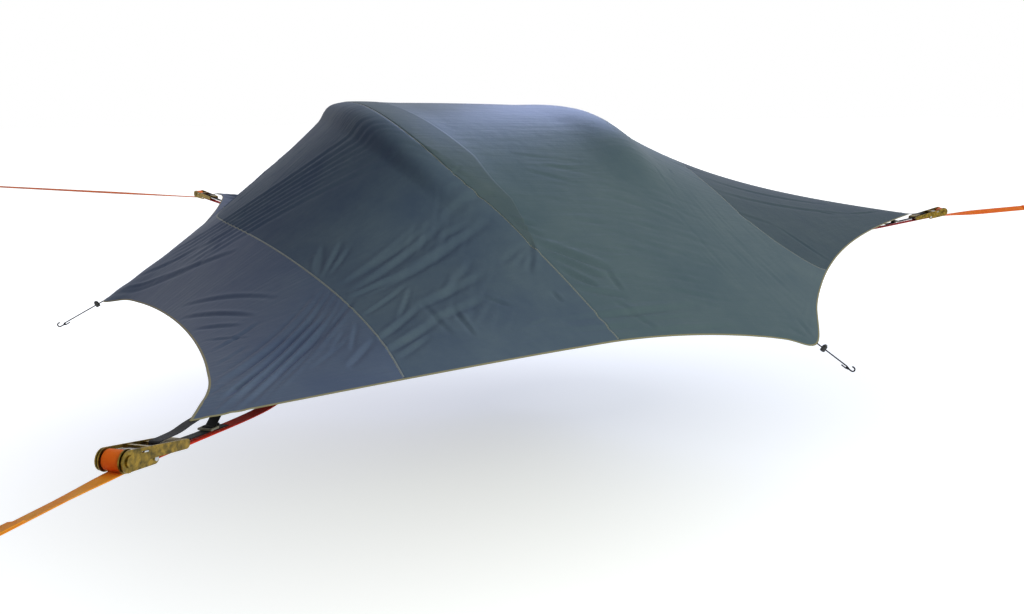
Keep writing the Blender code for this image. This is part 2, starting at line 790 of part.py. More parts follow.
def roll_points():
    """The strap's path through the axle's slot and round it to the bottom."""
    middle = AXLE_RADIUS * math.cos(math.asin(SLOT_HALF / AXLE_RADIUS))
    bend = SLOT_HALF + SIDE_GAP / 2
    through = [(-AXLE_RADIUS + WEB_THICK, 0.0), (0.0, 0.0)]
    corner = circle_points(middle, bend, bend, 5, start=-90.0, sweep=90.0)
    first = math.atan2(bend, middle + bend)
    radius = math.hypot(middle + bend, bend)
    facet = math.radians(360.0 / ROLL_FACETS)
    last = math.radians(270.0 + 360.0 * ROLL_TURNS)
    spiral = []
    for step in range(1, math.ceil((last - first) / facet) + 1):
        angle = min(first + facet * step, last)
        reach = radius + ROLL_PITCH * (angle - first) / (2 * math.pi)
        spiral.append((reach * math.cos(angle), reach * math.sin(angle)))
    return through + corner + spiral


def least_roll_gap():
    """The least gap between the roll's turns, measured on points along its line."""
    corners = np.array(roll_points())
    walked = np.concatenate([[0.0], np.cumsum(np.linalg.norm(np.diff(corners, axis=0), axis=1))])
    at = np.arange(0.0, walked[-1], TURN_GAP / 2)
    line = np.column_stack([np.interp(at, walked, corners[:, k]) for k in (0, 1)])
    gaps = np.linalg.norm(line[:, None] - line[None], axis=2)
    half_turn = math.pi * AXLE_RADIUS
    return gaps[np.abs(at[:, None] - at[None]) > half_turn].min() - WEB_THICK


ROLL_OUTER = -roll_points()[-1][1] + WEB_THICK / 2
STRAP_BELOW = ROLL_OUTER + TURN_GAP + WEB_THICK / 2


def frame_mesh():
    """Two side plates on a cross plate, slotted for the lock pawl."""
    arm = belt([(0.0, -FRAME_DIP, FRAME_ROUND - FRAME_DIP), (-FRAME_LENGTH, -FRAME_DIP, FRAME_END)])
    plate = flat_plate([merged([circle_points(0.0, 0.0, FRAME_ROUND, 28), arm])], PLATE_THICK)
    middle = PLATE_INNER + PLATE_THICK / 2
    plates = pair(moved(plate, y=middle))
    low = -FRAME_ROUND + PLATE_THICK * 3
    cross = box((-FRAME_LENGTH * CROSS_SHARE, -middle, low),
                (-FRAME_ROUND - SIDE_GAP, middle, low + PLATE_THICK))
    axle_hole = cross_rod(AXLE_RADIUS + SIDE_GAP, HANDLE_INNER, 0.0, 0.0)
    bolt_hole = cross_rod(BOLT_RADIUS + SEAT_GAP, HANDLE_INNER, -FRAME_LENGTH, -FRAME_DIP, sides=16)
    height = -math.sin(math.radians(LOCK_ANGLE)) * PAWL_REACH
    half = PAWL_THICK / 2 + SIDE_GAP
    slots = box((-LOCK_BAR_FRONT - PAWL_BAR - PAWL_TRAVEL - SIDE_GAP, -HANDLE_INNER, height - half),
                (-LOCK_BAR_FRONT + SIDE_GAP, HANDLE_INNER, height + half))
    return shaped([plates[0], cross, plates[1]], [axle_hole, bolt_hole, slots])


def pawl_mesh(angle, reach, bar_front, ear_out, rear, tab):
    """A sliding pawl: a cross bar with two fingers that meet the wheels."""
    outer = HANDLE_INNER - SIDE_GAP
    bar_rear = bar_front + PAWL_BAR
    half = [(-bar_front, WHEEL_INNER), (-reach, WHEEL_INNER), (-reach, outer), (-bar_front, outer)]
    if ear_out > outer:
        half.append((-bar_front, ear_out))
    half += [(-bar_rear, ear_out), (-bar_rear, tab), (-rear, tab)]
    mirrored = [(x, -y) for x, y in reversed(half)]
    mesh = flat_plate([half + mirrored], PAWL_THICK, upright=False)
    return moved(mesh, z=math.sin(math.radians(angle)) * PAWL_REACH)


def handle_mesh():
    """The ratchet's handle: two side plates, a spring bar and a grip."""
    waist = (-WAIST_OUT, WAIST_RISE, WAIST_RADIUS)
    head = belt([(0.0, 0.0, HANDLE_ROUND), waist])
    arm = belt([waist, (-HANDLE_LENGTH + GRIP_RADIUS, GRIP_RISE, GRIP_RADIUS)])
    middle = HANDLE_INNER + PLATE_THICK / 2
    plates = pair(moved(flat_plate([merged([arm, head])], PLATE_THICK), y=middle))
    top = GRIP_RISE + GRIP_RADIUS - SIDE_GAP
    grip = box((-HANDLE_LENGTH + GRIP_RADIUS, -middle, top - PLATE_THICK),
               (-HANDLE_LENGTH + GRIP_LENGTH, middle, top))
    lip = cross_rod(LIP_RADIUS, middle - SIDE_GAP, -HANDLE_LENGTH + GRIP_RADIUS - SIDE_GAP,
                    top - LIP_RADIUS + SIDE_GAP, sides=12)
    bar_low = WAIST_RISE + WAIST_RADIUS - PLATE_THICK * 2
    bar = box((-BAR_BACK - BAR_DEPTH, -middle, bar_low), (-BAR_BACK, middle, bar_low + PLATE_THICK))
    hole = cross_rod(AXLE_RADIUS + SIDE_GAP, HANDLE_OUTER + CUT_MORE, 0.0, 0.0)
    height = math.sin(math.radians(DRIVE_ANGLE)) * PAWL_REACH
    front = -DRIVE_BAR_FRONT + PAWL_TRAVEL + SIDE_GAP
    back = -DRIVE_BAR_FRONT - PAWL_BAR - PAWL_BACK - SIDE_GAP
    half = PAWL_THICK / 2 + SIDE_GAP
    slots = box((back, -HANDLE_OUTER - CUT_MORE, height - half),
                (front, HANDLE_OUTER + CUT_MORE, height + half))
    return shaped([plates[0], grip, lip, bar, plates[1]], [hole, slots])


def bolt_mesh():
    """The bolt that the anchor webbing loops round, with head and nut."""
    half = PLATE_INNER + PLATE_THICK + SIDE_GAP
    shank = cross_rod(BOLT_RADIUS, half + HEAD_THICK / 2, 0.0, 0.0, sides=16)
    head = cross_rod(BOLT_HEAD, HEAD_THICK / 2, 0.0, 0.0, sides=6)
    heads = pair(moved(head, y=half + HEAD_THICK / 2))
    return shaped([shank, *heads])


def ladder_mesh():
    """A ladder-lock: a moulded frame with a fixed bar and a gripping bar."""
    half_length = LADDER_LENGTH / 2
    half_width = LADDER_WIDTH / 2
    slot_side = STRAP_WIDTH / 2 + 2 * SEAT_GAP
    outer = [(-half_length, -half_width), (half_length, -half_width),
             (half_length, half_width), (-half_length, half_width)]
    holes = []
    slot = (LADDER_LENGTH - 3 * LADDER_BAR) / 2
    for start in (-half_length + LADDER_BAR, LADDER_BAR / 2):
        holes.append([(start, -slot_side), (start + slot, -slot_side),
                      (start + slot, slot_side), (start, slot_side)])
    mesh = flat_plate([outer, *holes], LADDER_THICK, upright=False)
    obj = loose_object("ladder", mesh)
    soft = obj.modifiers.new("soft_edges", "BEVEL")
    soft.width = LADDER_BAR / 8
    soft.segments = 1
    return finished_mesh(obj)


# Where things stand in the upright plane through a corner, as (out, up)

def turn(angle, out, up):
    """Turn an (out, up) offset by an angle, positive lifting its outer end."""
    c, s = math.cos(math.radians(angle)), math.sin(math.radians(angle))
    return out * c - up * s, out * s + up * c


def spool_place(rise):
    """The spool's axis in the plane of a corner whose strap rises so."""
    out, up = turn(rise, SPOOL_OUT, STRAP_BELOW)
    return CORNER_REACH + out, up


def from_ratchet(rise, out, up):
    """A point given in the ratchet's own frame, in the corner's plane."""
    spool = spool_place(rise)
    shift = turn(rise + RATCHET_TILT, out, up)
    return spool[0] + shift[0], spool[1] + shift[1]


def tree_strap_points(rise, length):
    """The tree strap from under the roll to its sewn end loop and back."""
    fold = END_LOOP_GAP / 2
    stitch = WEB_THICK / 2 + SEAT_GAP
    neck_share, open_share, straight_share = 0.12, 0.42, 0.50
    near, opened, straight = (length + END_LOOP * share for share in (neck_share, open_share, straight_share))
    out = [(SPOOL_OUT, 0.0), (SPOOL_OUT + SEWN_LENGTH, 0.0), (length - SEWN_LENGTH, 0.0), (length, 0.0)]
    neck = smooth_path([(length, 0.0), (near, 0.0), (opened, -fold), (straight, -fold)], fold * 2 / 3)
    far = circle_points(length + END_LOOP - fold, 0.0, fold, 7, start=-90.0, sweep=180.0)
    back = smooth_path([(straight, fold), (opened, fold), (near, 2 * stitch), (length, 2 * stitch)], fold * 2 / 3)
    path = out + neck[1:] + far + back + [(length - SEWN_LENGTH, 2 * stitch)]
    points = []
    for along, up in path:
        shift = turn(rise, along, up)
        points.append((CORNER_REACH + shift[0], shift[1]))
    return points


def anchor_points(rise):
    """The anchor webbing: from the hatch ring to the bolt, and sewn back."""
    bolt = from_ratchet(rise, -FRAME_LENGTH, -FRAME_DIP)
    wrap = BOLT_RADIUS + SEAT_GAP + WEB_THICK / 2
    ring = HATCH_ACROSS / 2 + ZIP_TAPE + RING_WEB_WIDTH
    knee = (FLOOR_REACH, WEB_LEVEL)
    sole_share = 0.80
    back_shares = (0.35, 0.60, 1.00)
    slope = math.degrees(math.atan2(bolt[1] - wrap - knee[1], bolt[0] - knee[0]))
    start = turn(slope, -SEWN_LENGTH, -wrap)
    sole = smooth_path([(FLOOR_REACH * sole_share, WEB_LEVEL), (FLOOR_REACH - FLOOR_TIP, WEB_LEVEL),
                        (knee[0], WEB_LEVEL + WEB_THICK), (bolt[0] + start[0], bolt[1] + start[1])],
                       SEWN_LENGTH / 3)
    round_bolt = circle_points(bolt[0], bolt[1], wrap, 11, start=slope - 90.0, sweep=180.0)
    twin = WEB_THICK + 2 * SEAT_GAP
    end = []
    for back_share, lift in zip(back_shares, (twin + BOLT_RADIUS / 3, twin, twin)):
        back = turn(slope, -SEWN_LENGTH * back_share, lift - wrap)
        end.append((bolt[0] + back[0], bolt[1] + back[1]))
    return [(ring + SEAT_GAP, WEB_LEVEL)] + sole + round_bolt + end


def under_fly(tree, azimuth, out):
    """The highest level for a strap under the fly, at a place in a corner."""
    levels = []
    for step in range(-4, 5):
        across = STRAP_WIDTH * step / 8
        start = Matrix.Rotation(math.radians(azimuth), 3, "Z") @ Vector((out, across, -FLY_SIDE))
        hit = tree.ray_cast(start, Vector((0.0, 0.0, 1.0)))[0]
        if hit is not None:
            levels.append(hit.z)
    return min(levels) - SEAT_GAP - STRAP_THICK / 2


def ladder_place(rise):
    """The ladder-lock's middle in a corner's plane, and how it tilts."""
    out, up = from_ratchet(rise, -HANDLE_LENGTH, GRIP_RISE)
    place = (CORNER_REACH - LADDER_IN, -LADDER_DROP)
    return place, math.degrees(math.atan2(up - place[1], out - place[0]))


def corner_strap_points(rise, tree, azimuth):
    """The black strap sewn under a fly corner.

    One end loops round the ladder-lock's fixed bar. The other runs out over
    the ratchet, round its grip, and back through the ladder-lock.
    """
    hug = STRAP_THICK / 2 + SEAT_GAP
    lock, tilt = ladder_place(rise)
    wrap = math.hypot(LADDER_BAR, LADDER_THICK) / 2 + hug
    bar_at = LADDER_LENGTH / 2 - LADDER_BAR / 2

    def in_ladder(out, up):
        shift = turn(tilt, out, up)
        return lock[0] + shift[0], lock[1] + shift[1]

    bar = in_ladder(-bar_at, 0.0)
    bend = STRAP_THICK * 2
    back_out = CORNER_REACH - TAB_IN
    back = (back_out, under_fly(tree, azimuth, back_out) - bend)
    span = math.hypot(back[0] - bar[0], back[1] - bar[1])
    heading = math.degrees(math.atan2(back[1] - bar[1], back[0] - bar[0]) + math.asin((wrap + bend) / span))
    loop = circle_points(*bar, wrap, 9, start=heading - 270.0, sweep=180.0)
    tail_step = turn(heading, STRAP_WIDTH / 2, -wrap / 2)
    tab_end = (loop[0][0] + tail_step[0], loop[0][1] + tail_step[1])
    fold = circle_points(*back, bend, 7, start=heading + 90.0, sweep=-heading)
    steps = [back_out + TAB_IN * k / 8 for k in range(1, 8)]
    sewn = [(out, under_fly(tree, azimuth, out)) for out in steps]
    sewn.append((CORNER_REACH, TIP_HEIGHT - FLY_WALL - hug))

    top = GRIP_RISE + GRIP_RADIUS - SIDE_GAP
    grip_middle = top - PLATE_THICK / 2
    grip_front = -HANDLE_LENGTH + GRIP_LENGTH
    turn_radius = PLATE_THICK / 2 + STRAP_THICK * 2
    over = [sewn[-1], (CORNER_REACH + TIP_WIDTH / 4, sewn[-1][1]),
            from_ratchet(rise, -HANDLE_LENGTH + GRIP_RADIUS, top + STRAP_THICK * 7),
            from_ratchet(rise, grip_front, grip_middle + turn_radius)]
    round_grip = [from_ratchet(rise, *point) for point in
                  circle_points(grip_front, grip_middle, turn_radius, 7, start=90.0, sweep=-180.0)]
    below_lip = top - 2 * LIP_RADIUS - hug - SEAT_GAP
    home = [round_grip[-1], from_ratchet(rise, -HANDLE_LENGTH + GRIP_RADIUS * 2, below_lip),
            from_ratchet(rise, -HANDLE_LENGTH, below_lip),
            in_ladder(LADDER_LENGTH, -LADDER_THICK / 2 - hug),
            in_ladder(LADDER_BAR / 2 + hug + STRAP_THICK, -LADDER_THICK / 2 - hug)]
    low = -LADDER_THICK / 2 - hug
    threaded = [in_ladder(LADDER_BAR / 2 + hug, 0.0)]
    for corner, start in ((LADDER_BAR / 2, 0.0), (-LADDER_BAR / 2, 90.0)):
        threaded += [in_ladder(*point) for point in
                     circle_points(corner, LADDER_THICK / 2, hug, 4, start=start, sweep=90.0)]
    tail_out = -LADDER_BAR / 2 - hug
    tail_slope_share = 0.06
    threaded += [in_ladder(tail_out, low)]
    for run in (LADDER_BAR, LADDER_LENGTH, 2 * LADDER_LENGTH):
        threaded.append(in_ladder(tail_out - run, low - STRAP_THICK - run * tail_slope_share))
    return ([tab_end] + loop + fold + sewn[:-1] + smooth_path(over, STRAP_WIDTH / 2)[:-1]
            + round_grip[:-1] + smooth_path(home, STRAP_WIDTH / 2) + threaded)


def build_ratchet(name, azimuth, rise, length, tree):
    """One corner's ratchet, with its straps and the buckle on the fly."""
    corner = bpy.data.objects.new(name + "_corner", None)
    tent_collection().objects.link(corner)
    corner.matrix_world = Matrix.Rotation(math.radians(azimuth), 4, "Z")
    out, up = spool_place(rise)
    ratchet = bpy.data.objects.new(name + "_ratchet", None)
    tent_collection().objects.link(ratchet)
    ratchet.parent = corner
    ratchet.matrix_local = (Matrix.Translation((out, 0.0, up))
                            @ Matrix.Rotation(math.radians(-rise - RATCHET_TILT), 4, "Y"))
    bolt_place = Matrix.Translation((-FRAME_LENGTH, 0.0, -FRAME_DIP))
    piece(name + "_ratchet_frame", frame_mesh(), ZINC_GOLD, ratchet)
    piece(name + "_spool", spool_mesh(), ZINC_GOLD, ratchet)
    piece(name + "_handle", handle_mesh(), ZINC_GOLD, ratchet)
    piece(name + "_lock_pawl", pawl_mesh(-LOCK_ANGLE, PAWL_REACH - PAWL_THICK / 2, LOCK_BAR_FRONT,
                                         HANDLE_INNER - SIDE_GAP, LOCK_BAR_FRONT + PAWL_BAR * 2,
                                         PLATE_INNER / 2), STEEL, ratchet)
    piece(name + "_drive_pawl", pawl_mesh(DRIVE_ANGLE, PAWL_REACH, DRIVE_BAR_FRONT,
                                          HANDLE_OUTER + PAWL_THICK, DRIVE_BAR_FRONT + PAWL_BAR * 3 / 2,
                                          PLATE_INNER * 3 / 4), STEEL, ratchet)
    piece(name + "_anchor_bolt", bolt_mesh(), STEEL, ratchet, bolt_place)
    piece(name + "_wound_strap", band(roll_points(), WEB_WIDTH, WEB_THICK), WEB_ORANGE, ratchet)
    piece(name + "_tree_strap", band(tree_strap_points(rise, length), WEB_WIDTH, WEB_THICK),
          WEB_ORANGE, corner)
    piece(name + "_anchor_webbing", band(anchor_points(rise), WEB_WIDTH, WEB_THICK), WEB_RED, corner)
    piece(name + "_corner_strap", band(corner_strap_points(rise, tree, azimuth), STRAP_WIDTH, STRAP_THICK),
          WEB_BLACK, corner)
    lock, tilt = ladder_place(rise)
    place = Matrix.Translation((lock[0], 0.0, lock[1])) @ Matrix.Rotation(math.radians(-tilt), 4, "Y")
    piece(name + "_ladder_lock", ladder_mesh(), PLASTIC_KHAKI, corner, place)


# Tie-outs: X runs out along the cord, Z is square to it in the upright plane

def lock_body_mesh():
    """The cord lock's barrel, open on top and bored across for the cord."""
    button_low = -CORD_RADIUS - SIDE_GAP - LOCK_FLOOR
    well = button_low - BUTTON_TRAVEL - SIDE_GAP
    inner = BUTTON_RADIUS + SIDE_GAP
    chamfer = LOCK_FLOOR / 2
    bottom = well - LOCK_FLOOR
    top = bottom + LOCK_HEIGHT
    profile = [(0.0, well), (inner, well), (inner, top), (LOCK_RADIUS - chamfer, top),
               (LOCK_RADIUS, top - chamfer), (LOCK_RADIUS, bottom + chamfer),
               (LOCK_RADIUS - chamfer, bottom), (0.0, bottom)]
    return shaped([turned(profile, 16)], [cord_bore()])


def cord_bore(raised=0.0):
    """A cutter for the cord's bore, raised into a slot if need be."""
    radius = CORD_RADIUS + SIDE_GAP
    outline = belt([(0.0, 0.0, radius), (0.0, raised, radius)], count=12)
    cutter = flat_plate([outline], LOCK_RADIUS * 2 + CUT_MORE)
    cutter.transform(Matrix.Rotation(math.radians(90.0), 4, "Z"))
    return cutter


def lock_button_mesh():
    """The cord lock's plunger, slotted so that it can be pressed."""
    low = -CORD_RADIUS - SIDE_GAP - LOCK_FLOOR
    well = low - BUTTON_TRAVEL - SIDE_GAP
    high = well - LOCK_FLOOR + LOCK_HEIGHT + BUTTON_RISE
    round_off = BUTTON_RADIUS / 4
    profile = [(0.0, high), (BUTTON_RADIUS - round_off, high), (BUTTON_RADIUS, high - round_off),
               (BUTTON_RADIUS, low), (0.0, low)]
    return shaped([turned(profile, 16)], [cord_bore(BUTTON_TRAVEL)])


def hook_mesh():
    """An eye of wire with an open hook on its far side."""
    eye = [(EYE_RADIUS + EYE_RADIUS * math.cos(a), EYE_RADIUS * math.sin(a), 0.0)
           for a in (2 * math.pi * k / 16 for k in range(16))]
    shank_end = EYE_RADIUS * 2 + HOOK_SHANK
    bend = circle_points(shank_end, HOOK_RADIUS, HOOK_RADIUS, 10, start=-90.0, sweep=215.0)
    hook = [(EYE_RADIUS * 2, 0.0, 0.0)] + [(x, 0.0, z) for x, z in bend]
    return shaped([tube(eye, HOOK_WIRE, resolution=1, cyclic=True), tube(hook, HOOK_WIRE, resolution=1)])


def tie_cord_points(length):
    """The cord from the fly, through the hook's eye and back a little."""
    start = FLY_WALL / 4 + SEAT_GAP
    turn_back = circle_points(length, -CORD_TURN, CORD_TURN, 8, start=90.0, sweep=-180.0)
    middle = [(start + (length - start) * k / 8, 0.0) for k in range(8)]
    points = middle + turn_back + [(length - CORD_RETURN, -2 * CORD_TURN)]
    return [(x, 0.0, z) for x, z in points]


def build_tie(name, azimuth):
    """One tie-out: its elastic cord, cord lock and hook."""
    length = TIE_LENGTHS[name]
    tie = bpy.data.objects.new(name + "_tie", None)
    tent_collection().objects.link(tie)
    tie.matrix_world = (Matrix.Rotation(math.radians(azimuth), 4, "Z")
                        @ Matrix.Translation((TIE_REACH, 0.0, -TIE_DROP))
                        @ Matrix.Rotation(math.radians(TIE_ANGLE), 4, "Y"))
    lock_place = Matrix.Translation((LOCK_OUT, 0.0, 0.0))
    piece(name + "_tie_cord", tube(tie_cord_points(length), CORD_RADIUS), CORD_BLACK, tie, smooth=True)
    piece(name + "_cord_lock", lock_body_mesh(), PLASTIC_BLACK, tie, lock_place, smooth=True)
    piece(name + "_lock_button", lock_button_mesh(), PLASTIC_BLACK, tie, lock_place, smooth=True)
    piece(name + "_hook", hook_mesh(), STEEL, tie, Matrix.Translation((length, 0.0, -CORD_TURN)),
          smooth=True)


print(f"Least gap between the turns of a wound strap: {least_roll_gap() * 1000:.2f} mm")
clear_scene()
build_cloth()
build_hatch()
build_poles()
fly_surface = BVHTree.FromObject(bpy.data.objects["rainfly"], bpy.context.evaluated_depsgraph_get())
for corner_name, corner_azimuth, strap_rise, strap_length in CORNERS:
    build_ratchet(corner_name, corner_azimuth, strap_rise, strap_length, fly_surface)
for tie_name, tie_azimuth in TIE_POINTS:
    build_tie(tie_name, tie_azimuth)
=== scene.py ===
# %% [markdown]
# # A tree tent hung between three trees
#
# A tree tent is a triangular floor pulled tight by three ratchet straps, with
# an insect net over two bent poles and a rainfly stretched over them. This
# lesson dresses a finished model of one. The model brings every solid at its
# real size; the script gives cloth its folds and seams, webbing its weave and
# stitches, and metal its plating.

# %% Load the model that everything is fitted to
import math
import random

import bmesh
import bpy
import numpy as np
from mathutils import Matrix, Vector, noise


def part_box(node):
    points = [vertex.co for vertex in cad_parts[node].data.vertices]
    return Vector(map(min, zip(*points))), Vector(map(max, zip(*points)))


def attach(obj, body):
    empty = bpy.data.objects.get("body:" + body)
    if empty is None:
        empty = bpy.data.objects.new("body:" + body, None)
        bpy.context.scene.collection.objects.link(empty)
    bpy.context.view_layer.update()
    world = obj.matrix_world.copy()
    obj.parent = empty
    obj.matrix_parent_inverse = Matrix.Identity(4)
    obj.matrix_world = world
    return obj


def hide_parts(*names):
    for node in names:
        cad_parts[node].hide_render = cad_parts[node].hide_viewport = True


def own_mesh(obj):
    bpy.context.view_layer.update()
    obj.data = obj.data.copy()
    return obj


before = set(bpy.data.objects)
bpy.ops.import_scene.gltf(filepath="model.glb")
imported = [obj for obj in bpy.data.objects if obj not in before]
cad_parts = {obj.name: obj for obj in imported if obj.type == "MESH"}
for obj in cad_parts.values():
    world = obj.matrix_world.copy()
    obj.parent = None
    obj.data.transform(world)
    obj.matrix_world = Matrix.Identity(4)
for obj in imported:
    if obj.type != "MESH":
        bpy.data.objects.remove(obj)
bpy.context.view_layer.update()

# %% [markdown]
# ## The camera
#
# The photographer stood left of the tent's front, a little above its straps,
# and used a moderate wide angle. A camera in Blender looks down its own -Z,
# so its pitch is 90 degrees less the tilt down, and its yaw turns it to the
# right of +Y.

# %% Camera
PHOTO_WIDTH_PX = 1024
FOCAL_PX = 874.3
SENSOR_WIDTH_MM = 36.0
CAMERA_PLACE = (-1.0543, -3.8487, 0.6945)
CAMERA_PITCH = 75.82
CAMERA_YAW = -17.33

camera_data = bpy.data.cameras.new("camera")
camera_data.sensor_width = SENSOR_WIDTH_MM
camera_data.lens = FOCAL_PX * SENSOR_WIDTH_MM / PHOTO_WIDTH_PX
camera_data.clip_end = 100.0
camera = bpy.data.objects.new("camera", camera_data)
camera.location = CAMERA_PLACE
camera.rotation_euler = (math.radians(CAMERA_PITCH), 0.0, math.radians(CAMERA_YAW))
bpy.context.scene.collection.objects.link(camera)
bpy.context.scene.camera = camera
print(f"Lens: {camera_data.lens:.1f} mm")

# %% [markdown]
# ## Skins made from a rolled-up grid
#
# Straps, cords, tapes and seams are all one shape: an outline carried along a
# path. A grid from `bmesh.ops.create_grid` has the right faces already. Its
# vertices are moved onto rings round the path, its two long sides are welded,
# and its ends are filled. The grid's UV map is then a ruler in metres: one way
# round the outline, the other along the path, which is what a weave needs. The
# skin is shaded smooth, but where it bends by over 50 degrees it stays sharp.

# %% Sweep an outline along a path
WELD = 1e-6
SOFT_EDGE = 50.0


def finished(name, bm, smooth=True):
    """Make a mesh object of a bmesh and put it in the scene."""
    mesh = bpy.data.meshes.new(name)
    bm.to_mesh(mesh)
    bm.free()
    if smooth:
        mesh.shade_smooth()
    obj = bpy.data.objects.new(name, mesh)
    bpy.context.scene.collection.objects.link(obj)
    return obj


def grid_of_points(points, across, along):
    """A bmesh grid over points[row, column], its UV map in metres."""
    rows, columns = points.shape[0] - 1, points.shape[1] - 1
    bm = bmesh.new()
    ruler = bm.loops.layers.uv.new("metres")
    bmesh.ops.create_grid(bm, x_segments=columns, y_segments=rows, size=0.5, calc_uvs=True)
    for face in bm.faces:
        for loop in face.loops:
            column = round((loop.vert.co.x + 0.5) * columns)
            row = round((loop.vert.co.y + 0.5) * rows)
            loop[ruler].uv = (across[column], along[row])
    bm.verts.ensure_lookup_table()
    for vert, place in zip(bm.verts, points.reshape(-1, 3)):
        vert.co = place
    return bm


def walked(points):
    """The distance walked along points, at each of them."""
    steps = np.linalg.norm(np.diff(points, axis=0), axis=1)
    return np.concatenate([[0.0], np.cumsum(steps)])


def swept(name, path, sides, outline):
    """A closed skin: the outline's (side, up) points carried along the path."""
    path = np.array(path, float)
    sides = np.broadcast_to(np.array(sides, float), path.shape)
    steps = np.diff(path, axis=0)
    steps /= np.linalg.norm(steps, axis=1)[:, None]
    headings = np.vstack([steps[:1], steps[:-1] + steps[1:], steps[-1:]])
    headings /= np.linalg.norm(headings, axis=1)[:, None]
    mitres = 1 / np.einsum("ij,ij->i", headings, np.vstack([steps, steps[-1:]]))
    ups = np.cross(headings, sides)
    ups *= (mitres / np.linalg.norm(ups, axis=1))[:, None]
    ring = np.array(list(outline) + [outline[0]])
    points = path[:, None] + ring[None, :, :1] * sides[:, None] + ring[None, :, 1:] * ups[:, None]
    bm = grid_of_points(points, walked(ring), walked(path))
    bmesh.ops.remove_doubles(bm, verts=bm.verts, dist=WELD)
    bmesh.ops.holes_fill(bm, edges=bm.edges, sides=0)
    bmesh.ops.recalc_face_normals(bm, faces=bm.faces)
    obj = finished(name, bm)
    obj.data.set_sharp_from_angle(angle=math.radians(SOFT_EDGE))
    return obj

# %% [markdown]
# ## Colours, nodes and pieces
#
# Colours are written as the hex values a painter would pick on a screen, and
# one function turns them to the linear light that shaders work in. One helper
# adds a node, sets its values and links its inputs. The short functions after
# it name what a few nodes mean on real cloth and metal: bands of a real pitch,
# cloudy noise, a stretch of values, a colour between two, and relief. The last
# three dress a piece, tell which part of the model it stands for, and give a
# surface its thickness.

# %% Colours, nodes and pieces
def linear(hex_colour):
    """A screen colour such as #445566 as linear red, green, blue and alpha."""
    channels = [int(hex_colour[k:k + 2], 16) / 255 for k in (1, 3, 5)]
    return (*[c / 12.92 if c <= 0.04045 else ((c + 0.055) / 1.055) ** 2.4 for c in channels], 1.0)


def add(tree, kind, settings=(), inputs=()):
    """Add a node: settings are its own values, inputs its socket values or links."""
    node = tree.nodes.new("ShaderNode" + kind)
    for name, value in dict(settings).items():
        setattr(node, name, value)
    for name, value in dict(inputs).items():
        socket = node.inputs[name]
        if isinstance(value, bpy.types.NodeSocket):
            tree.links.new(value, socket)
        else:
            socket.default_value = value
    return node


def new_material(name, roughness, colour=None, **sockets):
    """A material whose shader has these constants; returns it, its tree and shader."""
    material = bpy.data.materials.new(name)
    material.use_nodes = True
    tree = material.node_tree
    shader = tree.nodes["Principled BSDF"]
    shader.inputs["Roughness"].default_value = roughness
    if colour:
        shader.inputs["Base Color"].default_value = linear(colour)
    for socket, value in sockets.items():
        shader.inputs[socket.replace("_", " ")].default_value = value
    return material, tree, shader


def ruler_of(tree):
    """The place on a swept or gridded skin, in metres across and along."""
    return add(tree, "UVMap", {"uv_map": "metres"}).outputs["UV"]


def bands(tree, place, pitch, direction, profile="SIN", **more):
    """Stripes of a real pitch in metres: X or Y, or DIAGONAL."""
    return add(tree, "TexWave", {"bands_direction": direction, "wave_profile": profile},
               {"Vector": place, "Scale": math.pi / 10 / pitch, **more}).outputs["Fac"]


def speckle(tree, place, scale, detail, roughness=0.5):
    """Cloudy noise whose patches are about 1 / scale metres wide."""
    return add(tree, "TexNoise", {}, {"Vector": place, "Scale": scale, "Detail": detail,
                                      "Roughness": roughness}).outputs["Fac"]


def join(tree, operation, one, other):
    """The result of a calculation with two values."""
    return add(tree, "Math", {"operation": operation}, {0: one, 1: other}).outputs["Value"]


def spread(tree, value, from_range=(0.0, 1.0), to_range=(0.0, 1.0)):
    """A value stretched from one range to another and held inside it."""
    return add(tree, "MapRange", {}, {"Value": value, "From Min": from_range[0], "From Max": from_range[1],
                                      "To Min": to_range[0], "To Max": to_range[1]}).outputs["Result"]


def between(tree, share, one, other):
    """A colour between two, each a hex value or a link."""
    one, other = (linear(c) if isinstance(c, str) else c for c in (one, other))
    return add(tree, "Mix", {"data_type": "RGBA"}, {"Factor": share, 6: one, 7: other}).outputs[2]


def relief(tree, height, strength, distance, under=None):
    """A bump of some height in metres; it may lie over another one."""
    below = {"Normal": under} if under else {}
    return add(tree, "Bump", {}, {"Height": height, "Strength": strength, "Distance": distance,
                                  **below}).outputs["Normal"]


def wire_up(tree, shader, colour, normal):
    """Link a shader's colour and the bumps of its surface."""
    tree.links.new(colour, shader.inputs["Base Color"])
    tree.links.new(normal, shader.inputs["Normal"])


def seen_plainly(tree):
    """1 for what the camera, a mirror or glass sees, 0 for light that falls on things."""
    seen = add(tree, "LightPath").outputs
    direct = join(tree, "MAXIMUM", seen["Is Camera Ray"], seen["Is Glossy Ray"])
    return join(tree, "MAXIMUM", direct, seen["Is Transmission Ray"])


def dress(obj, material):
    """Give an object one material in every slot."""
    if not obj.material_slots:
        obj.data.materials.append(material)
    for place in obj.material_slots:
        place.link = "OBJECT"
        place.material = material
    return obj


def placed(piece, node, body, slot):
    """The piece moves with a body and stands for a node; slot is not used."""
    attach(piece, body)
    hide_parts(node)
    return piece


def thicken(piece, thickness):
    """Give a single surface its cloth's thickness, half to each side."""
    wall = piece.modifiers.new("cloth thickness", "SOLIDIFY")
    wall.thickness = thickness
    wall.offset = 0.0
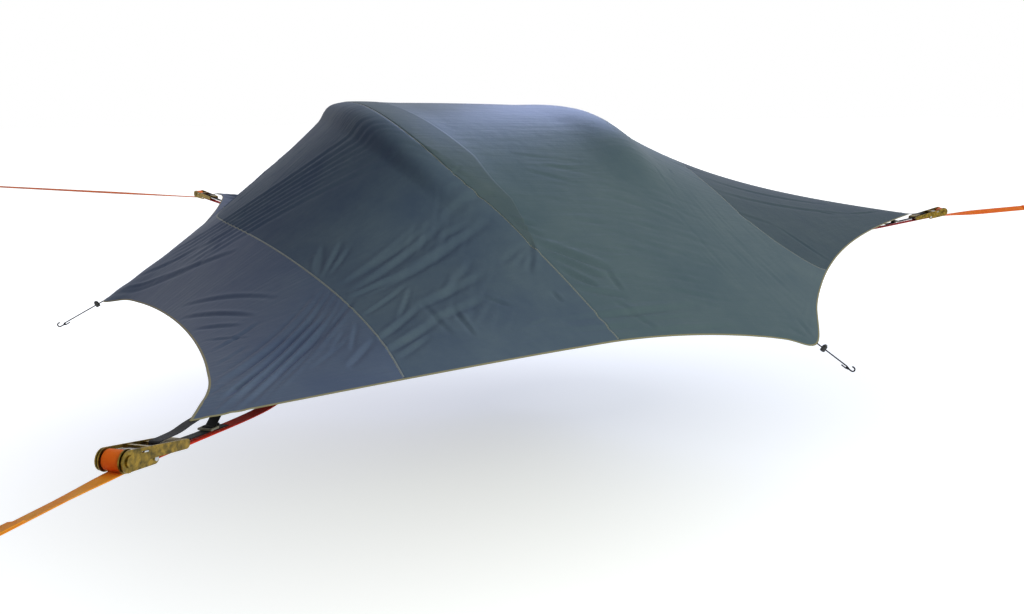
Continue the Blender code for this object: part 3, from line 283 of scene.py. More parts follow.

# %% [markdown]
# ## Sewn polyester webbing
#
# Ratchet webbing is a heavy flat weave: cords run along it, and the weft
# shows as fine ribs across. Two sets of bands, one each way, multiplied,
# give the small pillows of that weave, and darken the colour between them as
# painted shade. At a step away the weave only breaks the highlight; the
# colour fades in long soft patches where the strap has lain in the sun. The
# front left strap has a lighter copy of the orange: painted light.

# %% Webbing materials
WARP_CORD = 0.0022
WEFT_RIB = 0.0017


def webbing_material(name, main, worn):
    """A woven strap: pillowed weave and faded patches."""
    material, tree, shader = new_material(name, 0.62, Specular_IOR_Level=0.2)
    ruler = ruler_of(tree)
    pillows = join(tree, "MULTIPLY", *[bands(tree, ruler, pitch, way, Distortion=0.3, Detail=1.0)
                                       for pitch, way in ((WARP_CORD, "X"), (WEFT_RIB, "Y"))])
    fade = spread(tree, speckle(tree, ruler, 14.0, 4.0, 0.6), (0.35, 0.75))
    tone = between(tree, fade, main, worn)
    # Painted shade: the colour is darkened between the pillows of the weave.
    shade = spread(tree, pillows, to_range=(0.80, 1.10))
    woven = add(tree, "Mix", {"data_type": "RGBA", "blend_type": "MULTIPLY"}, {"Factor": 1.0, 6: tone, 7: shade})
    wire_up(tree, shader, woven.outputs[2], relief(tree, pillows, 0.55, 0.0004))
    return material


orange_webbing = webbing_material("orange_polyester_webbing", "#ff6a12", "#ff8424")
# A lighter copy of the orange webbing, for the front left strap: painted light.
lightened_orange_webbing = webbing_material("orange_webbing_painted_lighter", "#ff9020", "#ffb238")
red_webbing = webbing_material("red_polyester_webbing", "#e2301f", "#f04a33")
black_webbing = webbing_material("black_nylon_webbing", "#0c0c0f", "#141418")

# %% [markdown]
# ## The tie-out cords
#
# An elastic cord holds each middle point of the rainfly's hems down and out.
# It is 4.4 mm shock cord under a braided sheath: it leaves the cloth, passes
# through a cord lock and the eye of a wire hook, and folds back a little.
# Each is pulled straight by whatever its hook holds, so its route is a line
# with a small bend at the hook. The route repeats the sizes of the model.

# %% Tie-out cords
TIE_REACH = 1.620
TIE_DROP = 0.165
TIE_ANGLE = 28.0
TIE_LENGTHS = {"front": 0.175, "left": 0.125, "right": 0.125}
TIE_AZIMUTHS = {"front": 180.0, "left": -60.0, "right": 60.0}
CORD_RADIUS = 0.0022
CORD_TURN = 0.0040
CORD_RETURN = 0.018
CORD_START = 0.0006
BRAID_PITCH = 0.0030


def circle_points(x, z, radius, count, start=0.0, sweep=360.0):
    """Points on an arc, its two ends included."""
    angles = np.radians(start + sweep * np.arange(count) / (count - 1))
    return [(x + radius * math.cos(a), z + radius * math.sin(a)) for a in angles]


def tie_frame(name):
    """The matrix of a tie-out: X along its cord, Z square to it."""
    return (Matrix.Rotation(math.radians(TIE_AZIMUTHS[name]), 4, "Z")
            @ Matrix.Translation((TIE_REACH, 0.0, -TIE_DROP))
            @ Matrix.Rotation(math.radians(TIE_ANGLE), 4, "Y"))


def tie_route(name):
    """The cord's line: straight out, round the hook's eye and back."""
    length = TIE_LENGTHS[name]
    straight = [(CORD_START + (length - CORD_START) * k / 16, 0.0) for k in range(16)]
    bend = circle_points(length, -CORD_TURN, CORD_TURN, 8, start=90.0, sweep=-180.0)
    tail = [(length - CORD_RETURN * k / 3, -2 * CORD_TURN) for k in (1, 2, 3)]
    return [tie_frame(name) @ Vector((x, 0.0, z)) for x, z in straight + bend + tail]


braid, tree, shader = new_material("braided_polyester_cord", 0.8, Specular_IOR_Level=0.15)
ruler = ruler_of(tree)
flipped = add(tree, "Mapping", {}, {"Vector": ruler, "Scale": (-1.0, 1.0, 1.0)}).outputs["Vector"]
strands = join(tree, "MULTIPLY", *[bands(tree, way, BRAID_PITCH, "DIAGONAL") for way in (ruler, flipped)])
wire_up(tree, shader, between(tree, strands, "#08080a", "#1b1b1f"), relief(tree, strands, 0.6, 0.0003))

tie_cords = {}
for name in TIE_LENGTHS:
    route = tie_route(name)
    across = tie_frame(name).to_3x3() @ Vector((0.0, 1.0, 0.0))
    cord = dress(swept(f"{name}_elastic_cord", route, across, circle_points(0, 0, CORD_RADIUS, 13)[:-1]), braid)
    placed(cord, f"{name}_tie_cord", "tent", "elastic_cord")
    tie_cords[name] = cord, route
    print(f"{name} tie-out cord: {walked(np.array(route))[-1] * 1000:.0f} mm")

# %% [markdown]
# ## Reading a strap's line back from its solid
#
# The model's straps are flat bands, bent in the upright plane through their
# corner. The edge face of a band has one outline: it runs up one side of the
# band, turns square at its end and comes back down the other side. One side,
# moved inwards by half the thickness, is the line down the middle, so the
# dressed strap lies exactly where the model's does. The long straps to the
# trees are tied with a little twist, which keeps a strap from humming in wind;
# the table of looks gives each strap's twist in degrees and its webbing.
# The black strap of the rainfly is hooked round its ratchet's closed handle.

# %% Strap lines
CORNER_AZIMUTHS = {"rear": 0.0, "front_left": -120.0, "front_right": 120.0}


def merged_copy(node):
    """A bmesh copy of a node's mesh with its loose triangles welded."""
    bm = bmesh.new()
    bm.from_mesh(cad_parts[node].data)
    bmesh.ops.remove_doubles(bm, verts=bm.verts, dist=WELD)
    return bm


def edge_outline(node, azimuth):
    """The (out, up) outline of a band's edge face, counter-clockwise."""
    bm = merged_copy(node)
    bmesh.ops.rotate(bm, verts=bm.verts, cent=(0, 0, 0), matrix=Matrix.Rotation(math.radians(-azimuth), 3, "Z"))
    edge_side = max(v.co.y for v in bm.verts) - WELD * 10
    side_faces = {f for f in bm.faces if all(v.co.y > edge_side for v in f.verts)}
    rim = {e for e in bm.edges if len(set(e.link_faces) & side_faces) == 1}
    ring = [next(iter(rim)).verts[0]]
    while rim:
        step = next(e for e in ring[-1].link_edges if e in rim)
        rim.discard(step)
        ring.append(step.other_vert(ring[-1]))
    outline = np.array([(v.co.x, v.co.z) for v in ring[:-1]])
    bm.free()
    after = np.roll(outline, -1, axis=0)
    area = np.sum(outline[:, 0] * after[:, 1] - outline[:, 1] * after[:, 0])
    return outline if area > 0 else outline[::-1]


def left_normals(steps):
    """Unit normals to the left of each step in the plane."""
    return np.column_stack([-steps[:, 1], steps[:, 0]]) / np.linalg.norm(steps, axis=1)[:, None]


def strap_line(node, azimuth, thickness):
    """The middle line (out, up) of a flat band in the plane at an azimuth."""
    outline = edge_outline(node, azimuth)
    steps = np.roll(outline, -1, axis=0) - outline
    normals = left_normals(steps)
    before = np.einsum("ij,ij->i", normals, np.roll(normals, 1, axis=0))
    after = np.einsum("ij,ij->i", normals, np.roll(normals, -1, axis=0))
    off = np.abs(np.linalg.norm(steps, axis=1) / thickness - 1) + np.abs(before) + np.abs(after)
    first, second = sorted(np.argsort(off)[:2])
    side = outline[first + 1:second + 1]
    normals = normals[first + 1:second]
    one, other = np.vstack([normals[:1], normals]), np.vstack([normals, normals[-1:]])
    shift = (one + other) / (1 + np.einsum("ij,ij->i", one, other))[:, None]
    return side + shift * thickness / 2


def in_plane(azimuth, out_up):
    """World points from (out, up) points of the upright plane at an azimuth."""
    turn = Matrix.Rotation(math.radians(azimuth), 3, "Z")
    return [turn @ Vector((out, 0.0, up)) for out, up in out_up]


def strap_outline(width, thickness):
    """A flat strap's outline, its edges rounded like a woven selvedge."""
    half = width / 2 - thickness / 2
    right = circle_points(half, 0.0, thickness / 2, 5, start=-90.0, sweep=180.0)
    left = circle_points(-half, 0.0, thickness / 2, 5, start=90.0, sweep=180.0)
    flat = [(half * k / 3, thickness / 2) for k in (2, 1, 0, -1, -2)]
    return right + flat + left + [(-x, -z) for x, z in flat]


def twisted(azimuth, line, start, end, twist):
    """A line's points and sides, turned over round the way from start to end.

    The turn grows over the first third of that way to a twist in degrees.
    """
    start, end = in_plane(azimuth, [start, end])
    across = Matrix.Rotation(math.radians(azimuth), 3, "Z") @ Vector((0.0, 1.0, 0.0))
    path, sides = [], []
    for point in in_plane(azimuth, line):
        share = min(max((point - start).dot(end - start) / (end - start).length_squared * 3, 0.0), 1.0)
        turn = Matrix.Rotation(math.radians(twist) * share * share * (3 - 2 * share), 3, end - start)
        axis_point = start + (end - start) * (point - start).dot(end - start) / (end - start).length_squared
        path.append(axis_point + turn @ (point - axis_point))
        sides.append(turn @ across)
    return path, sides


def laid_strap(name, node, path, sides, width, thickness, material, body, slot):
    """A strap swept along a path, standing for a node."""
    return placed(dress(swept(name, path, sides, strap_outline(width, thickness)), material), node, body, slot)


def evened(line):
    """The line with more points on its long steps, its own points kept."""
    steps = [np.linspace(a, b, max(2, round(float(np.linalg.norm(b - a)) / STRAP_STEP) + 1))[:-1]
             for a, b in zip(line, line[1:])]
    return np.vstack(steps + [line[-1:]])


STRAP_LOOKS = {"rear": (35.0, orange_webbing), "front_left": (12.0, lightened_orange_webbing),
               "front_right": (-16.0, orange_webbing)}
STRAP_STEP = 0.05
WEB_WIDTH = 0.035
WEB_THICK = 0.0022
STRAP_WIDTH = 0.025
STRAP_THICK = 0.0016
for corner, azimuth in CORNER_AZIMUTHS.items():
    line = strap_line(f"{corner}_tree_strap", azimuth, WEB_THICK)
    if line[0][0] > line[-1][0]:
        line = line[::-1]
    far = int(np.argmax(line[:, 0]))
    twist, webbing = STRAP_LOOKS[corner]
    route, sides = twisted(azimuth, evened(line[:far + 1]), line[0], line[far], twist)
    web = WEB_WIDTH, WEB_THICK, webbing, "tent", "orange_webbing"
    strap = laid_strap(f"{corner}_strap_to_tree", f"{corner}_tree_strap", route, sides, *web)
    folded_back, sides = twisted(azimuth, line[far:], line[0], line[far], twist)
    loop = laid_strap(f"{corner}_sewn_end_loop", f"{corner}_tree_strap", folded_back, sides, *web)
    length = float(walked(np.array(route))[-1])
    tuple(route[0])
    [tuple(p) for p in route]
    print(f"{corner} tree strap: {length:.2f} m from its ratchet to the end of its sewn loop")
    for ending, node, width, thickness, material, body, slot in (
            ("strap_on_spool", "wound_strap", WEB_WIDTH, WEB_THICK, orange_webbing, f"{corner}_spool",
             "orange_webbing"),
            ("floor_webbing", "anchor_webbing", WEB_WIDTH, WEB_THICK, red_webbing, "tent", "red_webbing"),
            ("fly_strap", "corner_strap", STRAP_WIDTH, STRAP_THICK, black_webbing, "tent", "black_webbing")):
        line = strap_line(f"{corner}_{node}", azimuth, thickness)
        path, sides = twisted(azimuth, line, line[0], line[-1], 0.0)
        piece = laid_strap(f"{corner}_{ending}", f"{corner}_{node}", path, sides, width, thickness,
                           material, body, slot)
    # The last one is the rainfly's strap.
    out = in_plane(azimuth, [(1.0, 0.0)])[0]
    sewn_end = min(path[0], path[-1], key=lambda p: p.xy.length)
    tuple(out)
    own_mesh(piece)

# %% [markdown]
# ## How the rainfly hangs
#
# A taut rainfly takes the shape in which the pulls of its threads balance.
# Hold a net of cords at its corners, tie-outs and poles, and let every free
# knot settle between its neighbours: that is one set of linear equations. The
# net repeats the model's, so the dressed cloth lies in the same place. The
# net's knots are about 15 cm apart, and a smooth curve through them gives
# every point between.

# %% Net of the rainfly
FLY_SIDE = 4.10
CORNER_REACH = FLY_SIDE / math.sqrt(3)
TIP_HEIGHT = 0.030
TIP_WIDTH = 0.060
FRONT_HEM_BOW = 0.140
HEM_SQUARE_SHARE = 0.60
HEM_LIFT_SHARE = 0.25
CLOTH_LIFT = 0.0128
KNOTS = 24
FRONT_ROW, REAR_ROW, TIE_ROW = 9, 13, 15
TOUCH_STEP_SHARE = 0.093
FRONT_TOUCHED, REAR_TOUCHED = 7, 6
FLOOR_INSET = 0.267
FLOOR_REACH = CORNER_REACH - FLOOR_INSET
FLOOR_BOW = 0.040
CUP_INSET = 0.022
POLE_RADIUS = 0.0095 / 2
FLY_WALL = 0.0012
SEAT_GAP = 0.0003
SEAT = POLE_RADIUS + FLY_WALL / 2 + SEAT_GAP
FRONT_FOLD_SHARE, REAR_FOLD_SHARE = 0.51, 0.62
NOSE_PULL, HEM_PULL, TAIL_HEM_PULL, LENGTHWISE_PULL = 0.20, 21.0, 2.6, 0.67


def polar(reach, azimuth, height=0.0):
    """A point at a distance and direction from the middle of the tent."""
    angle = math.radians(azimuth)
    return np.array([reach * math.cos(angle), reach * math.sin(angle), height])


def foot_side(foot):
    """How far from the middle line a pole stands, for its place along X."""
    corner = polar(FLOOR_REACH, -120.0)
    share = (foot - corner[0]) / (FLOOR_REACH - corner[0])
    edge = corner + (polar(FLOOR_REACH, 0.0) - corner) * share
    edge -= polar(1.0, -60.0) * FLOOR_BOW * 4 * share * (1 - share)
    return -edge[1] - CUP_INSET / math.cos(math.radians(30.0))


FRONT_ARCH = (-0.600, 0.622, 0.0, foot_side(0.0) + SEAT / FRONT_FOLD_SHARE, 3.0)
REAR_ARCH = (0.387, 0.601, 0.500, foot_side(0.500) + SEAT / REAR_FOLD_SHARE, 2.6)


def arch_place(arch, share):
    """A point of the cloth over a pole, its share -1 at one foot and 1 at the other.

    An arch gives its apex's place along X and height, its feet's place along
    X and to the side, and how square its shoulders are.
    """
    apex, height, foot, side, squareness = arch
    angle = share * math.pi / 2
    rise = abs(math.cos(angle)) ** (2 / squareness)
    out = math.copysign(abs(math.sin(angle)) ** (2 / squareness), angle)
    return np.array([foot + (apex - foot) * rise, side * out, height * rise])


def front_hem(share):
    """A point of the front hem, cut in a bow from the left corner to the tie-out."""
    corner = polar(CORNER_REACH, -120.0, TIP_HEIGHT)
    run = polar(TIE_REACH, 180.0, -TIE_DROP) - corner
    inwards = np.array([run[1], -run[0], 0.0]) / math.hypot(run[0], run[1])
    bow = FRONT_HEM_BOW * (4 * share * (1 - share)) ** HEM_SQUARE_SHARE
    return corner + run * share + (inwards + np.array([0.0, 0.0, HEM_LIFT_SHARE])) * bow


def held_knots():
    """The net's fixed knots: corners, tie-outs, front hem, tail and poles."""
    middle = KNOTS // 2
    mirror = np.array([1.0, -1.0, 1.0])
    held = {(TIE_ROW, 0): polar(TIE_REACH, -60.0, -TIE_DROP)}
    held[TIE_ROW, KNOTS] = held[TIE_ROW, 0] * mirror
    for column in range(middle + 1):
        held[0, column] = front_hem(column / middle)
        held[0, KNOTS - column] = held[0, column] * mirror
    for column in range(KNOTS + 1):
        tip_side = (column / KNOTS - 0.5) * TIP_WIDTH
        held[KNOTS, column] = polar(CORNER_REACH, 0.0, TIP_HEIGHT) + [0.0, tip_side, 0.0]
    for row, arch, touched in ((FRONT_ROW, FRONT_ARCH, FRONT_TOUCHED),
                               (REAR_ROW, REAR_ARCH, REAR_TOUCHED)):
        for step in range(-touched, touched + 1):
            held[row, middle + step] = arch_place(arch, TOUCH_STEP_SHARE * step)
    return held


def settled_net(held, across, along, lift):
    """Let a net's free knots settle between the held ones.

    across and along give the pull of each cord to the next column and row.
    """
    rows, width = lift.shape
    pull = np.zeros((rows * width, rows * width))
    push = np.zeros((rows * width, 3))
    push[:, 2] = lift.ravel()
    for knot in range(rows * width):
        row, column = divmod(knot, width)
        for other, strength, joined in ((knot + 1, across[row, column], column + 1 < width),
                                        (knot + width, along[row, column], row + 1 < rows)):
            if joined:
                pull[[knot, other], [knot, other]] += strength
                pull[[knot, other], [other, knot]] -= strength
    for (row, column), place in held.items():
        knot = row * width + column
        pull[knot] = 0.0
        pull[knot, knot] = 1.0
        push[knot] = place
    return np.linalg.solve(pull, push).reshape(rows, width, 3)


row_numbers, column_numbers = np.mgrid[0:KNOTS + 1, 0:KNOTS + 1]
across_pull = np.where(row_numbers < FRONT_ROW, NOSE_PULL * row_numbers / FRONT_ROW, 1.0)
at_side = (column_numbers == 0) | (column_numbers == KNOTS)
along_pull = np.where(at_side, np.where(row_numbers < TIE_ROW, HEM_PULL, TAIL_HEM_PULL), LENGTHWISE_PULL)
between_poles = (row_numbers >= FRONT_ROW) & (row_numbers < REAR_ROW)
lift = CLOTH_LIFT * (1 - (2 * column_numbers / KNOTS - 1) ** 2) * between_poles
fly_net = settled_net(held_knots(), across_pull, along_pull, lift)
print(f"Rainfly: {np.ptp(fly_net[..., 0]):.2f} m long, {np.ptp(fly_net[..., 1]):.2f} m wide")

# %% [markdown]
# ## Points between the knots
#
# A Catmull-Rom curve passes through its points without corners. It runs first
# across the net and then along it. Stiff coated cloth doesn't crease over a
# pole but rounds it, so the fly's curves run on over both poles. The fine
# insect net does fold there, so its curves stop at the pole and start afresh.

# %% Smooth surface through the net
def read_between(values, at):
    """Values read at fractional places along axis 0, by Catmull-Rom curves."""
    last = len(values) - 1
    padded = np.concatenate([2 * values[:1] - values[1:2], values, 2 * values[-1:] - values[-2:-1]])
    index = np.clip(np.floor(at).astype(int), 0, last - 1)
    t = (at - index).reshape((-1,) + (1,) * (values.ndim - 1))
    a, b, c, d = (padded[index + k] for k in range(4))
    bend, twist = 2 * a - 5 * b + 4 * c - d, 3 * b - a - 3 * c + d
    return 0.5 * (2 * b + (c - a) * t + bend * t ** 2 + twist * t ** 3)


def cloth_places(net, folds, rows, columns):
    """Points of a net's cloth at rows[i, j] and columns[j]; it may fold at some rows."""
    across = read_between(net.transpose(1, 0, 2), columns).transpose(1, 0, 2)
    places = np.empty((rows.shape[0], len(columns), 3))
    for j in range(len(columns)):
        for low, high in zip(folds, folds[1:]):
            inside = (rows[:, j] >= low) & (rows[:, j] <= high)
            if inside.any():
                places[inside, j] = read_between(across[low:high + 1, j], rows[inside, j] - low)
    return places

# %% [markdown]
# ## Folds that pull from point to point
#
# Tight cloth folds in straight lines between the points that pull on it: a
# fan runs from the front tie-out up to the front pole, another from the seam
# down to the ratchet corner, and short ripples cross the loose flank. Each
# fold is a groove with a ridge beside it, strongest in its middle. The table
# gives where each starts and ends, X and Y seen from above in centimetres, with
# its depth and half width in millimetres. The short ripples are strewn by a
# random draw with a fixed seed, so every run gives the same cloth. The far half
# of the tent has the mirror image of all of them, with grooves and ridges
# exchanged. No groove goes down into the strap that is sewn under each corner.

# %% Folds of the rainfly
FOLDS = (
    (-136, -2, -56, -65, 5, 10), (-135, -7, -54, -73, 5, 12), (-134, -13, -51, -80, 6, 12),
    (-132, -18, -48, -86, 6, 12), (-131, -24, -45, -91, 5, 11), (-129, -31, -41, -96, 5, 12),
    (-128, -38, -36, -100, 4, 12), (-126, -44, -32, -105, 4, 12), (-157, -1, -108, -67, 6, 10),
    (-159, 0, -123, -49, 5, 9), (-150, 0, -107, -44, 4, 10), (-153, -5, -133, -31, 4, 7),
    (-81, -129, -117, -205, 6, 8), (-83, -128, -119, -198, 5, 7), (-84, -134, -114, -198, 5, 7),
    (-80, -133, -113, -204, 6, 8), (-81, -138, -109, -193, 5, 7), (-79, -137, -109, -202, 5, 8),
    (-86, -127, -115, -179, 4, 8), (-79, -142, -104, -195, 4, 8), (-76, -138, -101, -182, 5, 9),
    (-82, -135, -96, -160, 4, 9), (-83, -121, -75, -106, 4, 10), (-84, -119, -81, -103, 4, 10),
    (-81, -121, -73, -111, 4, 9), (-85, -116, -83, -106, 3, 7), (-77, -137, -58, -130, 7, 10),
    (-61, -131, -28, -116, 7, 13), (-72, -138, -41, -123, 6, 12), (-76, -134, -41, -113, 6, 13),
    (-79, -129, -45, -113, 5, 12), (-77, -127, -51, -113, 4, 10), (-75, -149, -60, -136, 5, 7),
    (-66, -154, -59, -137, 4, 7), (-73, -164, -59, -148, 7, 10), (-61, -149, -36, -135, 6, 14),
    (-72, -171, -55, -155, 7, 12), (-58, -156, -38, -145, 5, 14), (-70, -175, -59, -163, 4, 9),
    (-52, -145, -38, -129, 4, 13), (-127, -80, -97, -123, 4, 9), (-126, -95, -104, -130, 5, 9),
    (-121, -118, -108, -134, 4, 9), (-118, -136, -106, -147, 3, 7), (-115, -151, -102, -136, 4, 9),
    (-113, -183, -97, -155, 6, 10), (-112, -193, -103, -175, 4, 7), (-114, -166, -106, -154, 3, 7),
    (-92, -179, -79, -159, 3, 7), (-86, -168, -81, -156, 3, 6), (-83, -179, -74, -163, 5, 9),
    (-81, -169, -77, -152, 3, 7), (-94, -167, -84, -149, 3, 7), (-58, -145, -53, -163, 3, 9),
    (-49, -151, -47, -163, 4, 7), (-16, -124, 8, -130, 9, 12), (-13, -128, 4, -134, 7, 10),
    (-11, -133, 0, -138, 8, 9), (-8, -140, 9, -140, 5, 10), (6, -130, 8, -138, 5, 9), (3, -142, 15, -151, 3, 10),
    (-22, -116, -14, -117, 5, 7), (-21, -118, -12, -121, 5, 7), (-17, -124, -22, -135, 5, 10),
    (-17, -124, -25, -132, 4, 10), (-17, -123, -30, -131, 4, 12), (-39, -145, -32, -149, 4, 7),
    (-49, -148, -49, -157, 3, 7), (-29, -157, -23, -154, 3, 6), (-17, -142, -15, -146, 5, 6),
    (-44, -113, -25, -108, 6, 10), (-46, -119, -36, -117, 5, 10), (-41, -108, -33, -106, 3, 7),
    (-39, -105, -34, -99, 3, 7), (-19, -154, 36, -138, 4, 10), (-4, -150, 37, -136, 4, 9), (-18, -158, 8, -151, 3, 9),
    (4, -150, 34, -141, 3, 9), (8, -153, 50, -141, 3, 9), (80, -130, 81, -139, 4, 7), (72, -135, 80, -139, 3, 7),
    (61, -142, 79, -140, 2, 7), (69, -43, 107, -26, 2, 12), (87, -43, 176, -16, 3, 12), (89, -54, 182, -24, 3, 10),
    (158, -32, 169, -30, 3, 6), (90, -68, 112, -65, 2, 10), (182, -24, 212, -9, 3, 7), (112, -65, 129, -81, 2, 10),
    (93, -72, 95, -74, 3, 6), (64, -58, 64, -61, 4, 6),
)
RIPPLE_FIELDS = (
    ((-0.15, 0.45), (-1.36, -0.82), (0.12, 0.26), 5.0, 1.3, 8, 90),
    ((0.48, 0.95), (-1.05, -0.60), (0.14, 0.30), -68.0, 1.0, 6, 60),
    ((-0.62, -0.35), (-1.60, -1.20), (0.08, 0.18), 62.0, 1.2, 8, 26),
    ((-1.30, -0.62), (-0.60, 0.60), (0.15, 0.35), -12.0, 0.9, 9, 40),
    ((0.30, 0.90), (-0.50, 0.50), (0.10, 0.24), 20.0, 0.8, 9, 40),
)


def ripples():
    """Short ripples strewn over the slack parts of a flank."""
    strewn = random.Random(11)
    for x_range, y_range, lengths, heading, depth, width, count in RIPPLE_FIELDS:
        for _ in range(count):
            x, y = strewn.uniform(*x_range), strewn.uniform(*y_range)
            length = strewn.uniform(*lengths)
            angle = math.radians(heading + strewn.uniform(-7.0, 7.0))
            yield (x, y, x + length * math.cos(angle), y + length * math.sin(angle),
                   depth * strewn.uniform(0.5, 1.2), width * strewn.uniform(0.8, 1.3))


def fold_heights(x, y, folds):
    """How far the folds lift the cloth at points of its plan."""
    height = np.zeros(np.shape(x))
    for x0, y0, x1, y1, depth, width in folds:
        length = math.hypot(x1 - x0, y1 - y0)
        ux, uy = (x1 - x0) / length, (y1 - y0) / length
        share = ((x - x0) * ux + (y - y0) * uy) / length
        near = (share > 0) & (share < 1)
        s = share[near]
        off = ((y[near] - y0) * ux - (x[near] - x0) * uy) / (width / 1000)
        taper = np.sin(math.pi * s) ** 0.6
        height[near] += depth / 1000 * taper * (0.6 * np.exp(-(off - 1.5) ** 2) - np.exp(-off ** 2))
    return height


flank_folds = [(*(at / 100 for at in fold[:4]), *fold[4:]) for fold in FOLDS] + list(ripples())
FLY_LIFT_LIMIT = 0.012
STRAP_SEWN_AT = 0.092
STRAP_FADE = 0.08
FINE = 8

fine = np.linspace(0, KNOTS, KNOTS * FINE + 1)
coarse = cloth_places(fly_net, (0, KNOTS), np.repeat(fine[:, None], len(fine), 1), fine)
outwards = np.cross(np.gradient(coarse, axis=0), np.gradient(coarse, axis=1))
outwards /= np.linalg.norm(outwards, axis=2)[..., None]


def dressed_cloth(rows, columns):
    """Points of the folded cloth and the way out from it at each."""
    places = cloth_places(fly_net, (0, KNOTS), rows, columns)
    r, c = (np.clip(at * FINE, 0, len(fine) - 1.001) for at in (rows, columns))
    ri, ci = r.astype(int), np.broadcast_to(c.astype(int), r.shape)
    rt, ct = (r - ri)[..., None], (c - c.astype(int))[None, :, None]
    out = ((outwards[ri, ci] * (1 - ct) + outwards[ri, ci + 1] * ct) * (1 - rt)
           + (outwards[ri + 1, ci] * (1 - ct) + outwards[ri + 1, ci + 1] * ct) * rt)
    x, y = places[..., 0], places[..., 1]
    lifted = fold_heights(x, y, flank_folds) - fold_heights(x, -y, flank_folds)
    lifted = np.clip(lifted, -FLY_LIFT_LIMIT, FLY_LIFT_LIMIT)
    for azimuth in CORNER_AZIMUTHS.values():
        spot = polar(CORNER_REACH - STRAP_SEWN_AT, azimuth)
        clear = np.clip((np.hypot(x - spot[0], y - spot[1]) - STRAP_WIDTH) / STRAP_FADE, 0.0, 1.0)
        lifted = np.where(lifted < 0, lifted * clear, lifted)
    return places + out * lifted[..., None], out

# %% [markdown]
# ## Coated polyester
#
# The fly is dark grey polyester with a silicone coat. The coat fills the
# weave, so the cloth has a broad soft sheen like a raincoat, and the bumps
# that show are the cloth's own: a ripstop grid, the small crumples of packing
# and long fine ripples, 22 mm apart, that its tension draws out along it. The
# grid's real pitch is 5 mm; it is drawn at 8 mm so that it shows. Each panel
# has its own grey, which is painted light and shade for how light falls on
# it: bluer at the nose, greener on the roof and darkest at the tail. Each
# also has its own share of the gloss, the least on the front.

# %% Fly cloth material
RIPSTOP_PITCH = 0.008
RIPPLE_SPACING = 0.022
RIPPLE_LENGTH = 0.30


def fly_material(name, dark, light, roughness, gloss):
    """Coated ripstop: soft sheen, faint grid, small crumples."""
    material, tree, shader = new_material(name, roughness, Specular_IOR_Level=gloss)
    place = add(tree, "TexCoord").outputs["Object"]
    ruler = ruler_of(tree)
    worn = spread(tree, speckle(tree, place, 3.0, 5.0, 0.65), (0.3, 0.7))
    threads = [bands(tree, ruler, RIPSTOP_PITCH, way, profile="SAW") for way in "XY"]
    grid = relief(tree, spread(tree, join(tree, "MAXIMUM", *threads), (0.86, 0.98)), 0.12, 0.0004)
    crumple = add(tree, "TexNoise", {"noise_type": "RIDGED_MULTIFRACTAL"},
                  {"Vector": place, "Scale": 16.0, "Detail": 4.0, "Roughness": 0.45})
    creased = relief(tree, crumple.outputs["Fac"], 0.22, 0.004, grid)
    drawn_out = add(tree, "Mapping", {}, {"Vector": ruler, "Scale": (1 / RIPPLE_SPACING, 1 / RIPPLE_LENGTH, 1.0)})
    ripple = join(tree, "MULTIPLY", speckle(tree, drawn_out.outputs["Vector"], 1.0, 2.0), worn)
    wire_up(tree, shader, between(tree, worn, dark, light), relief(tree, ripple, 0.5, 0.006, creased))
    return material


# Each panel's two greys are painted light and shade for that panel: bluer nose, greener roof, darker tail.
nose_cloth = fly_material("coated_ripstop_nose_painted_bluer", "#46526b", "#545f72", 0.5, 0.060)
front_cloth = fly_material("coated_ripstop_front_panel", "#4a5669", "#5a6672", 0.5, 0.016)
roof_cloth = fly_material("coated_ripstop_roof_painted_greener", "#4a5964", "#56636b", 0.5, 0.055)
tail_cloth = fly_material("coated_ripstop_tail_painted_darker", "#3a4754", "#455159", 0.5, 0.035)
sleeve_cloth = fly_material("doubled_ripstop_polyester", "#49565f", "#566064", 0.58, 0.045)

# %% [markdown]
# ## Four sewn panels
#
# The fly is sewn from four panels that meet at seams: the nose, the front, the
# roof over both poles and the tail. A panel's grid starts and ends exactly on
# its seams, so neighbours share an edge. Its lines are closest on the flanks,
# where the folds are. Each panel is one surface given the cloth's thickness by
# a Solidify modifier. Its flat size is what the cloth measures along itself,
# because that is the size it is cut to.

# %% Panels of the rainfly
FLY_SHEET = 0.0009
FLANK_SHARE = 0.36
NOSE_SEAM = 3.7
FRONT_SEAM_SHIFT = 0.15
TAIL_SEAM_COLUMNS = (0.0, 0.5, 1.9, 3.0, 4.6, 7.4, 12.0)
TAIL_SEAM_ROWS = (17.4, 17.2, 16.7, 16.3, 15.8, 15.45, 15.35)


def nose_seam(columns):
    """The net row of the straight seam between the nose and the front."""
    return np.full(len(columns), NOSE_SEAM)


def front_seam(columns):
    """The net row of the seam behind the front pole; it meets the hem at the pole."""
    return FRONT_ROW + np.interp(np.minimum(columns, KNOTS - columns), (3.0, 5.0), (0.0, FRONT_SEAM_SHIFT))


def tail_seam(columns):
    """The net row of the curved seam between the roof and the tail."""
    return np.interp(np.minimum(columns, KNOTS - columns), TAIL_SEAM_COLUMNS, TAIL_SEAM_ROWS)


def cloth_piece(name, node, points, width_row, cloth, thickness, slot):
    """A sheet over points[row, column]; returns it, its width along one row and its area."""
    widths = walked(points[width_row])
    bm = grid_of_points(points, widths, walked(points[:, points.shape[1] // 2]))
    bmesh.ops.reverse_faces(bm, faces=bm.faces)
    area = sum(face.calc_area() for face in bm.faces)
    sheet = placed(dress(finished(name, bm), cloth), node, "tent", slot)
    thicken(sheet, thickness)
    print(f"{name}: {area:.2f} square metres")
    return sheet, float(widths[-1]), area


